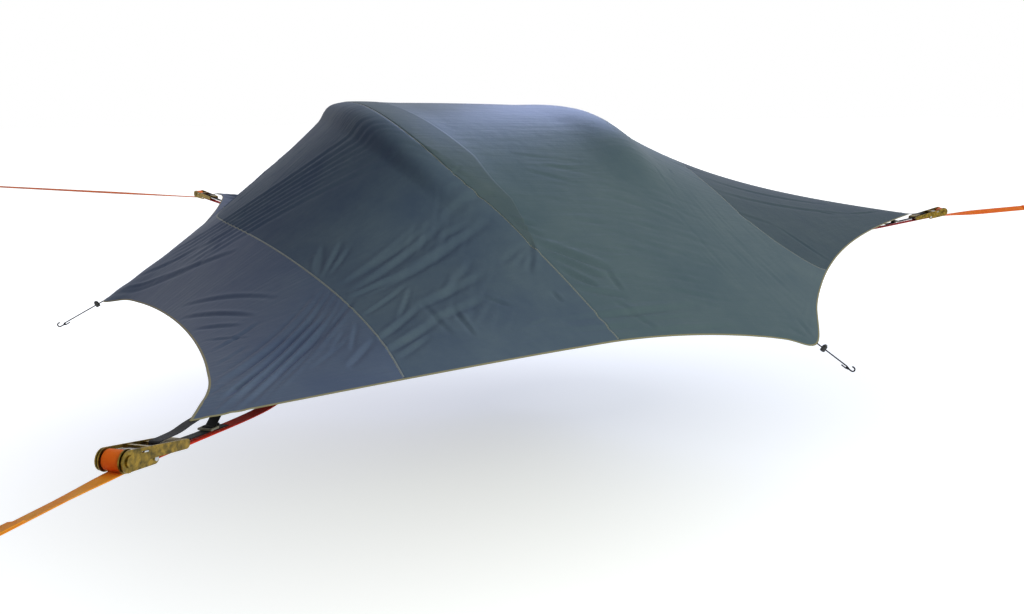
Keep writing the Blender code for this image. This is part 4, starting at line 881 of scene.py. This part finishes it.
def fly_panel(name, cloth, low, high, row_steps, flank_steps, ridge_steps):
    """One sewn panel between two seams, given as net rows for net columns."""
    flank = KNOTS * FLANK_SHARE
    columns = np.unique(np.concatenate([np.linspace(0, flank, flank_steps + 1),
                                        np.linspace(flank, KNOTS - flank, ridge_steps + 1),
                                        np.linspace(KNOTS - flank, KNOTS, flank_steps + 1)]).round(9))
    low, high = low(columns), high(columns)
    share = np.linspace(0, 1, row_steps + 1)[:, None]
    points, _ = dressed_cloth(low * (1 - share) + high * share, columns)
    panel, width, area = cloth_piece(name, "rainfly", points, len(points) // 2, cloth, FLY_SHEET, "rainfly_cloth")


fly_panel("fly_nose_panel", nose_cloth, np.zeros_like, nose_seam, 120, 150, 96)
fly_panel("fly_front_panel", front_cloth, nose_seam, front_seam, 96, 180, 110)
fly_panel("fly_roof_panel", roof_cloth, front_seam, tail_seam, 126, 160, 64)
fly_panel("fly_tail_panel", tail_cloth, tail_seam, lambda columns: np.full(len(columns), float(KNOTS)),
          170, 95, 70)

# %% [markdown]
# ## Felled seams, pole sleeve and bound hems
#
# Two panels meet in a felled seam: the edges are folded into each other and
# sewn down with two rows of beige thread. Over the front pole lies a second
# layer of cloth, widest beside the ridge. Every hem is bound with a narrow
# khaki tape that is folded round the edge. Seams and bindings are outlines
# swept along lines of the cloth itself.

# %% Thread and binding materials
STITCH_PITCH = 0.006
STITCH_SHARE = 0.72
THREAD_WIDTH = 0.0009
SEAM_WIDTH = 0.006
SEAM_RISE = 0.0009
SEAM_STITCHES = (SEAM_WIDTH * 1.28, SEAM_WIDTH * 1.75)
HEM_STITCHES = (0.009,)


def stitched_material(name, cloth, thread, rows_at, roughness):
    """Cloth with one or two rows of lockstitch, at places round its outline in metres."""
    material, tree, shader = new_material(name, roughness)
    across, along, _ = add(tree, "SeparateXYZ", {}, {"Vector": ruler_of(tree)}).outputs
    along = add(tree, "Math", {"operation": "WRAP"}, {0: along, 1: STITCH_PITCH, 2: 0.0}).outputs["Value"]
    sewn = join(tree, "LESS_THAN", along, STITCH_PITCH * STITCH_SHARE)
    rows = [add(tree, "Math", {"operation": "COMPARE"}, {0: across, 1: row_at, 2: THREAD_WIDTH / 2}).outputs["Value"]
            for row_at in rows_at]
    sewn = join(tree, "MULTIPLY", rows[0] if len(rows) == 1 else join(tree, "MAXIMUM", *rows), sewn)
    wire_up(tree, shader, between(tree, sewn, cloth, thread), relief(tree, sewn, 0.8, 0.0006))
    return material


seam_cloth = stitched_material("felled_seam_with_lockstitch", "#525b5f", "#979079", SEAM_STITCHES, 0.6)
hem_tape = stitched_material("khaki_grosgrain_binding", "#847a5a", "#b3a684", HEM_STITCHES, 0.75)

# %% [markdown]
# A seam lies along a row of the net and a hem along its border. A strip's
# outline stands on the cloth: its first number runs across the strip, its
# second one away from the cloth. The seams are a little proud of the cloth on
# both sides, and a hem's binding is a U that wraps the edge.

# %% Seams and hems
def laid_on_cloth(name, points, out, outline, material):
    """A strip swept along points of the cloth, its outline standing on it."""
    headings = np.gradient(points, axis=0)
    sides = np.cross(out, headings)
    sides /= np.linalg.norm(sides, axis=1)[:, None]
    placed(dress(swept(name, points, sides, outline), material), "rainfly", "tent", "rainfly_cloth")
    print(f"{name}: {walked(points)[-1]:.2f} m")


SEAM_OUTLINE = [(SEAM_WIDTH * across, SEAM_RISE * up) for across, up in (
    (-0.5, -1.0), (0.5, -1.0), (0.5, 0.7), (0.2, 1.0), (-0.2, 1.0), (-0.5, 0.7))]
SEAM_END = 0.06
seam_columns = np.linspace(SEAM_END, KNOTS - SEAM_END, 420)
for name, seam_row in (("nose_seam", nose_seam), ("front_pole_seam", front_seam), ("tail_seam", tail_seam)):
    points, out = dressed_cloth(seam_row(seam_columns)[None], seam_columns)
    laid_on_cloth(name, points[0], out[0], SEAM_OUTLINE, seam_cloth)

HEM_WIDTH = 0.006
HEM_PROUD = 0.0016
HEM_THICK = 0.0024
hem_outline = circle_points(HEM_PROUD - HEM_THICK / 2, 0.0, HEM_THICK / 2, 5, start=-90.0, sweep=180.0)
hem_outline += [(HEM_PROUD - HEM_WIDTH * share, HEM_THICK / 2 * thin)
                for share, thin in ((0.5, 1.0), (1.0, 0.7), (1.0, -0.7), (0.5, -1.0))]
hem_steps = np.linspace(0, KNOTS, 520)
hems = [("front_hem", dressed_cloth(np.zeros((1, len(hem_steps))), hem_steps))]
for name, column, order in (("left_hem", 0.0, -1), ("right_hem", float(KNOTS), 1)):
    points, out = dressed_cloth(hem_steps[::order, None], np.array([column]))
    hems.append((name, (points.transpose(1, 0, 2), out.transpose(1, 0, 2))))
for name, (points, out) in hems:
    laid_on_cloth(name, points[0], out[0], hem_outline, hem_tape)

# %% [markdown]
# The front pole runs in a sleeve: a strip of the same cloth sewn over the
# ridge behind the pole's seam. It is a grid between the seam and a wavy edge,
# which is given by a few net rows, lifted off the fly by one cloth's
# thickness.

# %% Pole sleeve over the front pole
SLEEVE_COLUMNS = (2.9, 3.2, 4.4, 5.1, 6.2, 7.5, 8.6, 10.7, 12.0)
SLEEVE_ROWS = (9.02, 9.2, 9.65, 9.7, 9.8, 9.75, 9.7, 9.6, 9.58)
SLEEVE_RISE = 0.0009
columns = np.linspace(SLEEVE_COLUMNS[0], KNOTS - SLEEVE_COLUMNS[0], 341)
edge = np.interp(np.minimum(columns, KNOTS - columns), SLEEVE_COLUMNS, SLEEVE_ROWS)
share = np.linspace(0, 1, 17)[:, None]
points, out = dressed_cloth(front_seam(columns) * (1 - share) + edge * share, columns)
points = points + out * SLEEVE_RISE
sleeve, length, area = cloth_piece("front_pole_sleeve", "rainfly", points, len(points) // 2, sleeve_cloth,
                                   FLY_SHEET, "rainfly_cloth")
width = float(max(walked(points[:, column])[-1] for column in range(len(columns))))
print(f"Pole sleeve: {length:.2f} m along the pole, {width * 1000:.0f} mm at its widest")

# %% [markdown]
# ## The insect net
#
# Under the fly a fine black net rises from the floor to both poles. It is the
# same kind of settled net, held all round the floor's edge and under each
# pole. Its holes are 0.5 mm, far below what a picture can show, so the cloth
# is made half see-through and a coarser grid of threads, 4 mm apart, keeps it
# from looking like smoked glass.

# %% Insect net
NET_ROWS, NET_COLUMNS = 13, 14
NET_FRONT_ROW, NET_REAR_ROW = 5, 7
NET_FINE = 10
BETWEEN_POLES = 6 * NET_FINE
NET_THREAD_PITCH = 0.004
NET_SHEET = 0.0006
FLOOR_TIP = 0.160
NET_INSET = 0.055
CABIN_LEVEL = -0.050
FLOOR_WALL = 0.0020
NET_WALL = 0.0010
NET_BASE = CABIN_LEVEL + FLOOR_WALL / 2 + SEAT_GAP + NET_WALL / 2
UNDER_POLE = POLE_RADIUS + SEAT_GAP + NET_WALL


def inset_edge(start, end, inset, share):
    """A point of the floor's outline drawn in by an inset; its tips are blunt."""
    blunt = (FLOOR_TIP / 2 + inset * math.sqrt(3)) / (FLOOR_REACH * math.sqrt(3))
    share = blunt + (1 - 2 * blunt) * share
    inwards = -(polar(1.0, start) + polar(1.0, end))
    edge = polar(FLOOR_REACH, start) * (1 - share) + polar(FLOOR_REACH, end) * share
    return edge + inwards * (FLOOR_BOW * 4 * share * (1 - share) + inset)


def inside_arch(arch, share, inside):
    """A point some way inside a pole's arch."""
    apex, height, foot = arch[:3]
    if abs(share) > 0.999:
        return arch_place(arch, share) + [0.0, -math.copysign(inside, share), 0.0]
    along = arch_place(arch, share + 0.001) - arch_place(arch, share - 0.001)
    inwards = np.cross(np.cross([apex - foot, 0.0, height], [0.0, 1.0, 0.0]), along)
    return arch_place(arch, share) + inwards / np.linalg.norm(inwards) * inside


def held_net_knots():
    """The insect net's fixed knots: round the floor and under both poles."""
    mirror = np.array([1.0, -1.0, 1.0])
    corner = polar(FLOOR_REACH, -120.0)[0]
    stops = [(foot - corner) / (FLOOR_REACH - corner) for foot in (FRONT_ARCH[2], REAR_ARCH[2])]
    shares = np.interp(range(NET_ROWS + 1), (0, NET_FRONT_ROW, NET_REAR_ROW, NET_ROWS), (0.0, *stops, 1.0))
    held = {}
    for row, share in enumerate(shares):
        held[row, 0] = inset_edge(-120.0, 0.0, NET_INSET, share) + [0.0, 0.0, NET_BASE]
        held[row, NET_COLUMNS] = held[row, 0] * mirror
    for column in range(1, NET_COLUMNS):
        share = column / NET_COLUMNS
        held[0, column] = inset_edge(-120.0, 120.0, NET_INSET, share) + [0.0, 0.0, NET_BASE]
        held[NET_ROWS, column] = held[NET_ROWS, 0] * [1.0, 1 - 2 * share, 1.0]
        for row, arch, fold_share in ((NET_FRONT_ROW, FRONT_ARCH, FRONT_FOLD_SHARE),
                                      (NET_REAR_ROW, REAR_ARCH, REAR_FOLD_SHARE)):
            held[row, column] = inside_arch(arch, 2 * share - 1, SEAT / fold_share + UNDER_POLE)
    return held


even_pull = np.ones((NET_ROWS + 1, NET_COLUMNS + 1))
cabin = settled_net(held_net_knots(), even_pull, even_pull, even_pull * 0)
rows, columns = (np.linspace(0, steps, steps * NET_FINE + 1) for steps in (NET_ROWS, NET_COLUMNS))
points = cloth_places(cabin, (0, NET_FRONT_ROW, NET_REAR_ROW, NET_ROWS),
                      np.repeat(rows[:, None], len(columns), 1), columns)

insect_mesh, tree, shader = new_material("black_polyester_netting", 0.7, "#1b1c20", Sheen_Weight=0.3)
ruler = ruler_of(tree)
threads = join(tree, "MAXIMUM", *[bands(tree, ruler, NET_THREAD_PITCH, way) for way in "XY"])
tree.links.new(spread(tree, threads, (0.5, 1.0), (0.38, 0.85)), shader.inputs["Alpha"])
insect_net, width, area = cloth_piece("cabin_insect_net", "insect_net", points, BETWEEN_POLES, insect_mesh,
                                      NET_SHEET, "insect_mesh")

# %% [markdown]
# ## Floor, hatch and the webbing sewn to them
#
# The floor is one flat triangle of heavy black nylon with a hexagonal hatch in
# its middle. Red webbing frames the hatch, black webbing binds the edge. Each
# is a flat ring between two outlines that the model already has, so a grid is
# bent round from the inner outline to the outer one. Between its seams the
# floor cloth is not perfectly flat: low swells and creases are pushed up.

# %% Floor cloth material
NYLON_PITCH = 0.0025

floor_cloth, tree, shader = new_material("heavy_black_nylon", 0.55, Sheen_Weight=0.3, Sheen_Roughness=0.4)
place = add(tree, "TexCoord").outputs["Object"]
broad = speckle(tree, place, 4.0, 6.0, 0.6)
weave = join(tree, "MULTIPLY", *[bands(tree, place, NYLON_PITCH, way) for way in "XY"])
creases = relief(tree, broad, 0.3, 0.01, relief(tree, weave, 0.3, 0.0003))
wire_up(tree, shader, between(tree, broad, "#1c1d21", "#2c2e33"), creases)

# %% [markdown]
# A ring's grid runs outwards in steps from its inner outline to its outer one,
# along rays from the middle: one every 2 degrees and one at every corner of
# either outline. The floor's inner outline is the hatch's hole. The hatch
# itself is filled down to a pinhole of 2 % of its size.

# %% Flat rings of cloth and webbing
def node_outline(node, low=0.0, high=3.0, pick=max):
    """A flat node's outline by angle: of its points on one ray, the one picked."""
    bm = merged_copy(node)
    rays = {}
    for vert in bm.verts:
        if low < vert.co.xy.length < high:
            ray = round(math.degrees(math.atan2(vert.co.y, vert.co.x)) * 2)
            rays[ray] = pick([rays.get(ray, vert.co.xy.copy()), vert.co.xy.copy()], key=lambda p: p.length)
    bm.free()
    return np.array([rays[ray] for ray in sorted(rays)])


def reach(outline, angles):
    """How far an outline lies from the middle, at some angles."""
    after = np.roll(outline, -1, axis=0)
    starts = np.arctan2(outline[:, 1], outline[:, 0])
    at = (np.searchsorted(starts, angles, side="right") - 1) % len(outline)
    step = after[at] - outline[at]
    heading = np.column_stack([np.cos(angles), np.sin(angles)])
    area = outline[at, 0] * step[:, 1] - outline[at, 1] * step[:, 0]
    return area / (heading[:, 0] * step[:, 1] - heading[:, 1] * step[:, 0])


def flat_ring(name, node, inner, outer, thickness, rings, material, body, slot, swell=0.0):
    """Cloth between two outlines round the middle, at its node's level."""
    corners = np.concatenate([np.arctan2(o[:, 1], o[:, 0]) for o in (inner, outer)])
    angles = np.unique(np.round(np.concatenate([corners, np.radians(np.arange(-179.0, 180.0, 2.0))]), 6))
    angles = np.append(angles, angles[0] + 2 * math.pi)
    share = np.linspace(0, 1, rings + 1)
    near, far = reach(inner, angles), reach(outer, angles)
    distance = near[:, None] * (1 - share) + far[:, None] * share
    low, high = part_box(node)
    points = np.stack([distance * np.cos(angles)[:, None], distance * np.sin(angles)[:, None],
                       np.full(distance.shape, (low[2] + high[2]) / 2)], axis=2)
    for i, j in np.ndindex(distance.shape):
        loose = min(distance[i, j] - near[i], far[i] - distance[i, j], 0.10) / 0.10
        if swell and loose > 0:
            spot = Vector(points[i, j]) * 5.0
            points[i, j, 2] += swell * loose * abs(noise.noise(spot) + 0.5 * noise.noise(spot * 2.3))
    bm = grid_of_points(points, distance[0] - distance[0, 0], walked(points[:, -1]))
    bmesh.ops.remove_doubles(bm, verts=bm.verts, dist=WELD)
    if sum(face.normal.z for face in bm.faces) < 0:
        bmesh.ops.reverse_faces(bm, faces=bm.faces)
    area = sum(face.calc_area() for face in bm.faces)
    ring = placed(dress(finished(name, bm), material), node, body, slot)
    thicken(ring, thickness)
    print(f"{name}: {area:.2f} square metres")
    return ring, area


FLOOR_SHEET = 0.0018
PINHOLE = 0.02
BEYOND_HATCH = 0.5
hatch_hole = node_outline("floor_panel", high=BEYOND_HATCH)
floor_rim = node_outline("floor_panel", low=BEYOND_HATCH)
floor, area = flat_ring("cabin_floor", "floor_panel", hatch_hole, floor_rim, FLOOR_SHEET, 40, floor_cloth,
                        "tent", "floor_cloth", swell=0.006)
hatch_rim = node_outline("floor_hatch")
hatch, area = flat_ring("hatch_panel", "floor_hatch", hatch_rim * PINHOLE, hatch_rim, FLOOR_SHEET, 14, floor_cloth,
                        "floor_hatch", "floor_cloth", swell=0.004)
for name, node, webbing, slot in (("hatch_frame_webbing", "hatch_ring", red_webbing, "red_webbing"),
                                  ("floor_edge_webbing", "edge_webbing", black_webbing, "black_webbing")):
    flat_ring(name, node, node_outline(node, pick=min), node_outline(node), WEB_THICK, 4, webbing, "tent", slot)

# %% [markdown]
# ## The hatch zip
#
# A coil zip runs round the hatch: two nylon spirals whose turns hook together.
# Closed, they read as one round cord with a turn every 3 mm, so it is a cord
# with its turns as bumps. Its black tape is part of the cloth beside it.

# %% Zip coil round the hatch
COIL_PITCH = 0.0030
COIL_RADIUS = 0.0022
COIL_STEPS = 60

zip_coil, tree, shader = new_material("nylon_coil_zip", 0.4, "#101013")
turns = bands(tree, ruler_of(tree), COIL_PITCH, "Y")
tree.links.new(relief(tree, turns, 0.9, 0.0008), shader.inputs["Normal"])

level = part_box("floor_hatch")[0].z
rim = np.vstack([hatch_rim, hatch_rim[:1]])
rim_corners = range(len(rim))
along = np.linspace(0.0, len(hatch_rim), len(hatch_rim) * COIL_STEPS + 1)
ring = np.column_stack([np.interp(along, rim_corners, rim[:, k]) for k in (0, 1)] + [np.full(len(along), level)])
coil_outline = circle_points(0, 0, COIL_RADIUS, 9)[:-1]
coil = dress(swept("hatch_zip_coil", ring[2:-2], (0.0, 0.0, -1.0), coil_outline), zip_coil)
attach(coil, "tent")
print(f"Hatch zip: {walked(ring)[-1]:.2f} m")

# %% [markdown]
# ## Metal and plastic
#
# The ratchets are pressed steel with a yellow zinc coat: a thin passivated
# skin whose dull gold drifts towards olive brown in small patches.
# The pawls and bolts have plain bright zinc. The poles are drawn aluminium
# tube, the cord locks and pole cups moulded black nylon, the buckles a grey
# brown acetal. The model's own edges are knife-sharp, so each part is a copy
# with every hard edge rounded by a Bevel modifier, which is what catches the
# light on a real pressing.

# %% Metal materials
def metal_material(name, main, other, roughness, scale, grain):
    """A metal whose tone drifts in patches, with a fine grain in its gloss."""
    material, tree, shader = new_material(name, roughness, Metallic=1.0)
    place = add(tree, "TexCoord").outputs["Object"]
    drift = spread(tree, speckle(tree, place, scale, 5.0, 0.6), (0.35, 0.65))
    speck = speckle(tree, place, 1 / grain, 3.0, 0.7)
    gloss = spread(tree, speck, to_range=(roughness * 0.6, roughness * 1.5))
    tree.links.new(gloss, shader.inputs["Roughness"])
    wire_up(tree, shader, between(tree, drift, main, other), relief(tree, speck, 0.15, grain / 4))
    return material


yellow_zinc = metal_material("yellow_passivated_zinc", "#94792f", "#4e431f", 0.34, 75.0, 0.0015)
bright_zinc = metal_material("bright_zinc_plated_steel", "#c6c8cb", "#a9acb1", 0.3, 80.0, 0.0012)
black_wire = metal_material("black_oxide_spring_wire", "#26262a", "#1a1a1c", 0.4, 60.0, 0.0010)
drawn_alloy = metal_material("drawn_aluminium_tube", "#a3a7ad", "#8d9299", 0.32, 20.0, 0.0020)


def plastic_material(name, colour, roughness, grain):
    """Moulded plastic with a fine spark-eroded grain."""
    material, tree, shader = new_material(name, roughness, colour)
    speck = speckle(tree, add(tree, "TexCoord").outputs["Object"], 1 / grain, 2.0)
    tree.links.new(relief(tree, speck, 0.25, grain / 5), shader.inputs["Normal"])
    return material


black_nylon = plastic_material("moulded_black_nylon", "#161618", 0.42, 0.0008)
brown_acetal = plastic_material("moulded_brown_acetal", "#5f584a", 0.45, 0.0008)

# %% [markdown]
# A hard part is welded, its flat faces are made whole again, and its edges are
# rounded by 0.2 to 0.6 mm. The tie-outs' hooks are bent from thin wire and
# dipped in a rubbery coat, which a Displace modifier puts on evenly.

# %% Rounded copies of the hard parts
HARD_EDGE = 32.0
HOOK_COAT = 0.0011


def softened(node, body, material, slot, edge_radius):
    """A copy of a node with its hard edges rounded, standing for the node."""
    bm = merged_copy(node)
    bmesh.ops.dissolve_limit(bm, angle_limit=math.radians(1.0), verts=bm.verts, edges=bm.edges)
    part = dress(finished(f"{node}_finished", bm), material)
    part.data.set_sharp_from_angle(angle=math.radians(HARD_EDGE))
    rounding = part.modifiers.new("rounded edges", "BEVEL")
    rounding.width = edge_radius
    rounding.segments = 2
    rounding.limit_method = "ANGLE"
    rounding.angle_limit = math.radians(HARD_EDGE)
    return placed(part, node, body, slot)


for corner in CORNER_AZIMUTHS:
    for part, moves, material, slot, edge_radius in (
            ("ratchet_frame", False, yellow_zinc, "yellow_zinc_steel", 0.0004),
            ("spool", True, yellow_zinc, "yellow_zinc_steel", 0.0004),
            ("handle", True, yellow_zinc, "yellow_zinc_steel", 0.0005),
            ("drive_pawl", True, bright_zinc, "plain_steel", 0.0003),
            ("lock_pawl", True, bright_zinc, "plain_steel", 0.0003),
            ("anchor_bolt", False, bright_zinc, "plain_steel", 0.0003),
            ("ladder_lock", False, brown_acetal, "khaki_plastic", 0.0006)):
        softened(f"{corner}_{part}", f"{corner}_{part}" if moves else "tent", material, slot, edge_radius)
for tie, (cord, route) in tie_cords.items():
    lock, button, hook = [
        softened(f"{tie}_{part}", f"{tie}_{part}", material, slot, edge_radius)
        for part, material, slot, edge_radius in (("cord_lock", black_nylon, "black_plastic", 0.0006),
                                                  ("lock_button", black_nylon, "black_plastic", 0.0006),
                                                  ("hook", black_wire, "plain_steel", 0.0002))]
    coat = hook.modifiers.new("dipped coat", "DISPLACE")
    coat.strength = HOOK_COAT
    coat.mid_level = 0.0
    tuple(route[0])
    float(walked(np.array(route))[-1])
    [tuple(p) for p in route]
for cup in ("front_left", "front_right", "rear_left", "rear_right"):
    softened(f"{cup}_pole_cup", "tent", black_nylon, "black_plastic", 0.0006)
for pole in ("front_pole", "rear_pole"):
    dress(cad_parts[pole], drawn_alloy)
softened("hatch_zip_slider", "hatch_zip_slider", bright_zinc, "plain_steel", 0.0003)

# %% [markdown]
# ## A white studio
#
# The tent hangs in a white room. The floor is plain pale card that keeps the
# tent's soft shadow and glows up to white away from it, so that it has no far
# edge. Its glow is weakest under the tent and grows to white about 3 m from
# there, which is a painted shadow added to the real one. The camera, mirrors
# and glass see the sky as pure white. Three soft lamps light the tent: a
# bluish one behind it, a weak one overhead and a faintly green one by the
# front. For everything else the sky is dimmer than white, and dimmest and
# bluest to the left, so that grey cloth keeps its tone and its slopes differ.

# %% Floor, backdrop and light
FLOOR_LEVEL = -1.15
SKY_ON_THINGS = (0.03, 1.05)
SKY_DIM_SIDE = -0.2
SKY_DIM_TINT = "#9db2ff"
SKY_TINT = "#fbfff2"
SKY_BRIGHT_SIDE = (0.75, -0.52, 0.42)
CARD_GLOW = (0.43, 1.0)
SHADE_SQUEEZE = (0.6, 1.0, 1.0)
SHADE_MIDDLE = (0.45, 0.85, FLOOR_LEVEL)
SHADE_REACH = (0.3, 3.1)

white_card, tree, shader = new_material("white_card", 0.95, "#c9c9c9", Specular_IOR_Level=0.1)
shader.inputs["Emission Color"].default_value = linear("#ffffff")
place = add(tree, "TexCoord").outputs["Object"]
# Painted shadow: the floor's glow is dimmed towards a point under the tent.
squeezed = add(tree, "VectorMath", {"operation": "MULTIPLY"}, {0: place, 1: SHADE_SQUEEZE})
away = add(tree, "VectorMath", {"operation": "DISTANCE"}, {0: squeezed.outputs["Vector"], 1: SHADE_MIDDLE})
glow = join(tree, "MULTIPLY", seen_plainly(tree), spread(tree, away.outputs["Value"], SHADE_REACH, CARD_GLOW))
tree.links.new(glow, shader.inputs["Emission Strength"])
bm = bmesh.new()
bmesh.ops.create_grid(bm, x_segments=1, y_segments=1, size=40.0)
bmesh.ops.translate(bm, verts=bm.verts, vec=(0.0, 0.0, FLOOR_LEVEL))
studio_floor = dress(finished("studio_floor", bm, smooth=False), white_card)

world = bpy.data.worlds.new("studio_sky")
world.use_nodes = True
bpy.context.scene.world = world
tree = world.node_tree
sky = tree.nodes["Background"]
direct = seen_plainly(tree)
heading = add(tree, "TexCoord").outputs["Generated"]
towards = add(tree, "VectorMath", {"operation": "DOT_PRODUCT"}, {0: heading, 1: SKY_BRIGHT_SIDE}).outputs["Value"]
on_things = spread(tree, towards, (SKY_DIM_SIDE, 1.0), SKY_ON_THINGS)
strength = add(tree, "Mix", {}, {"Factor": direct, "A": on_things, "B": 1.0}).outputs["Result"]
tint = between(tree, spread(tree, towards, (SKY_DIM_SIDE, 0.9)), SKY_DIM_TINT, SKY_TINT)
tree.links.new(between(tree, direct, tint, "#ffffff"), sky.inputs["Color"])
tree.links.new(strength, sky.inputs["Strength"])


def soft_lamp(name, place, aim, size, watts, colour):
    """A square soft lamp that shines from a place towards a point."""
    data = bpy.data.lights.new(name, "AREA")
    data.size = size
    data.energy = watts
    data.color = linear(colour)[:3]
    lamp = bpy.data.objects.new(name, data)
    lamp.location = place
    lamp.rotation_euler = (Vector(aim) - Vector(place)).to_track_quat("-Z", "Y").to_euler()
    bpy.context.scene.collection.objects.link(lamp)


soft_lamp("rear_lamp", (2.5, 4.5, 3.2), (0.2, 0.0, 0.4), 2.5, 175.0, "#b4c4ff")
soft_lamp("overhead_lamp", (0.5, -0.5, 6.0), (0.0, 0.0, 0.0), 4.0, 20.0, "#ffffff")
soft_lamp("front_lamp", (3.0, -6.5, 2.0), (0.5, 0.0, 0.2), 3.0, 185.0, "#eaffde")

bpy.context.scene.view_settings.view_transform = "Standard"
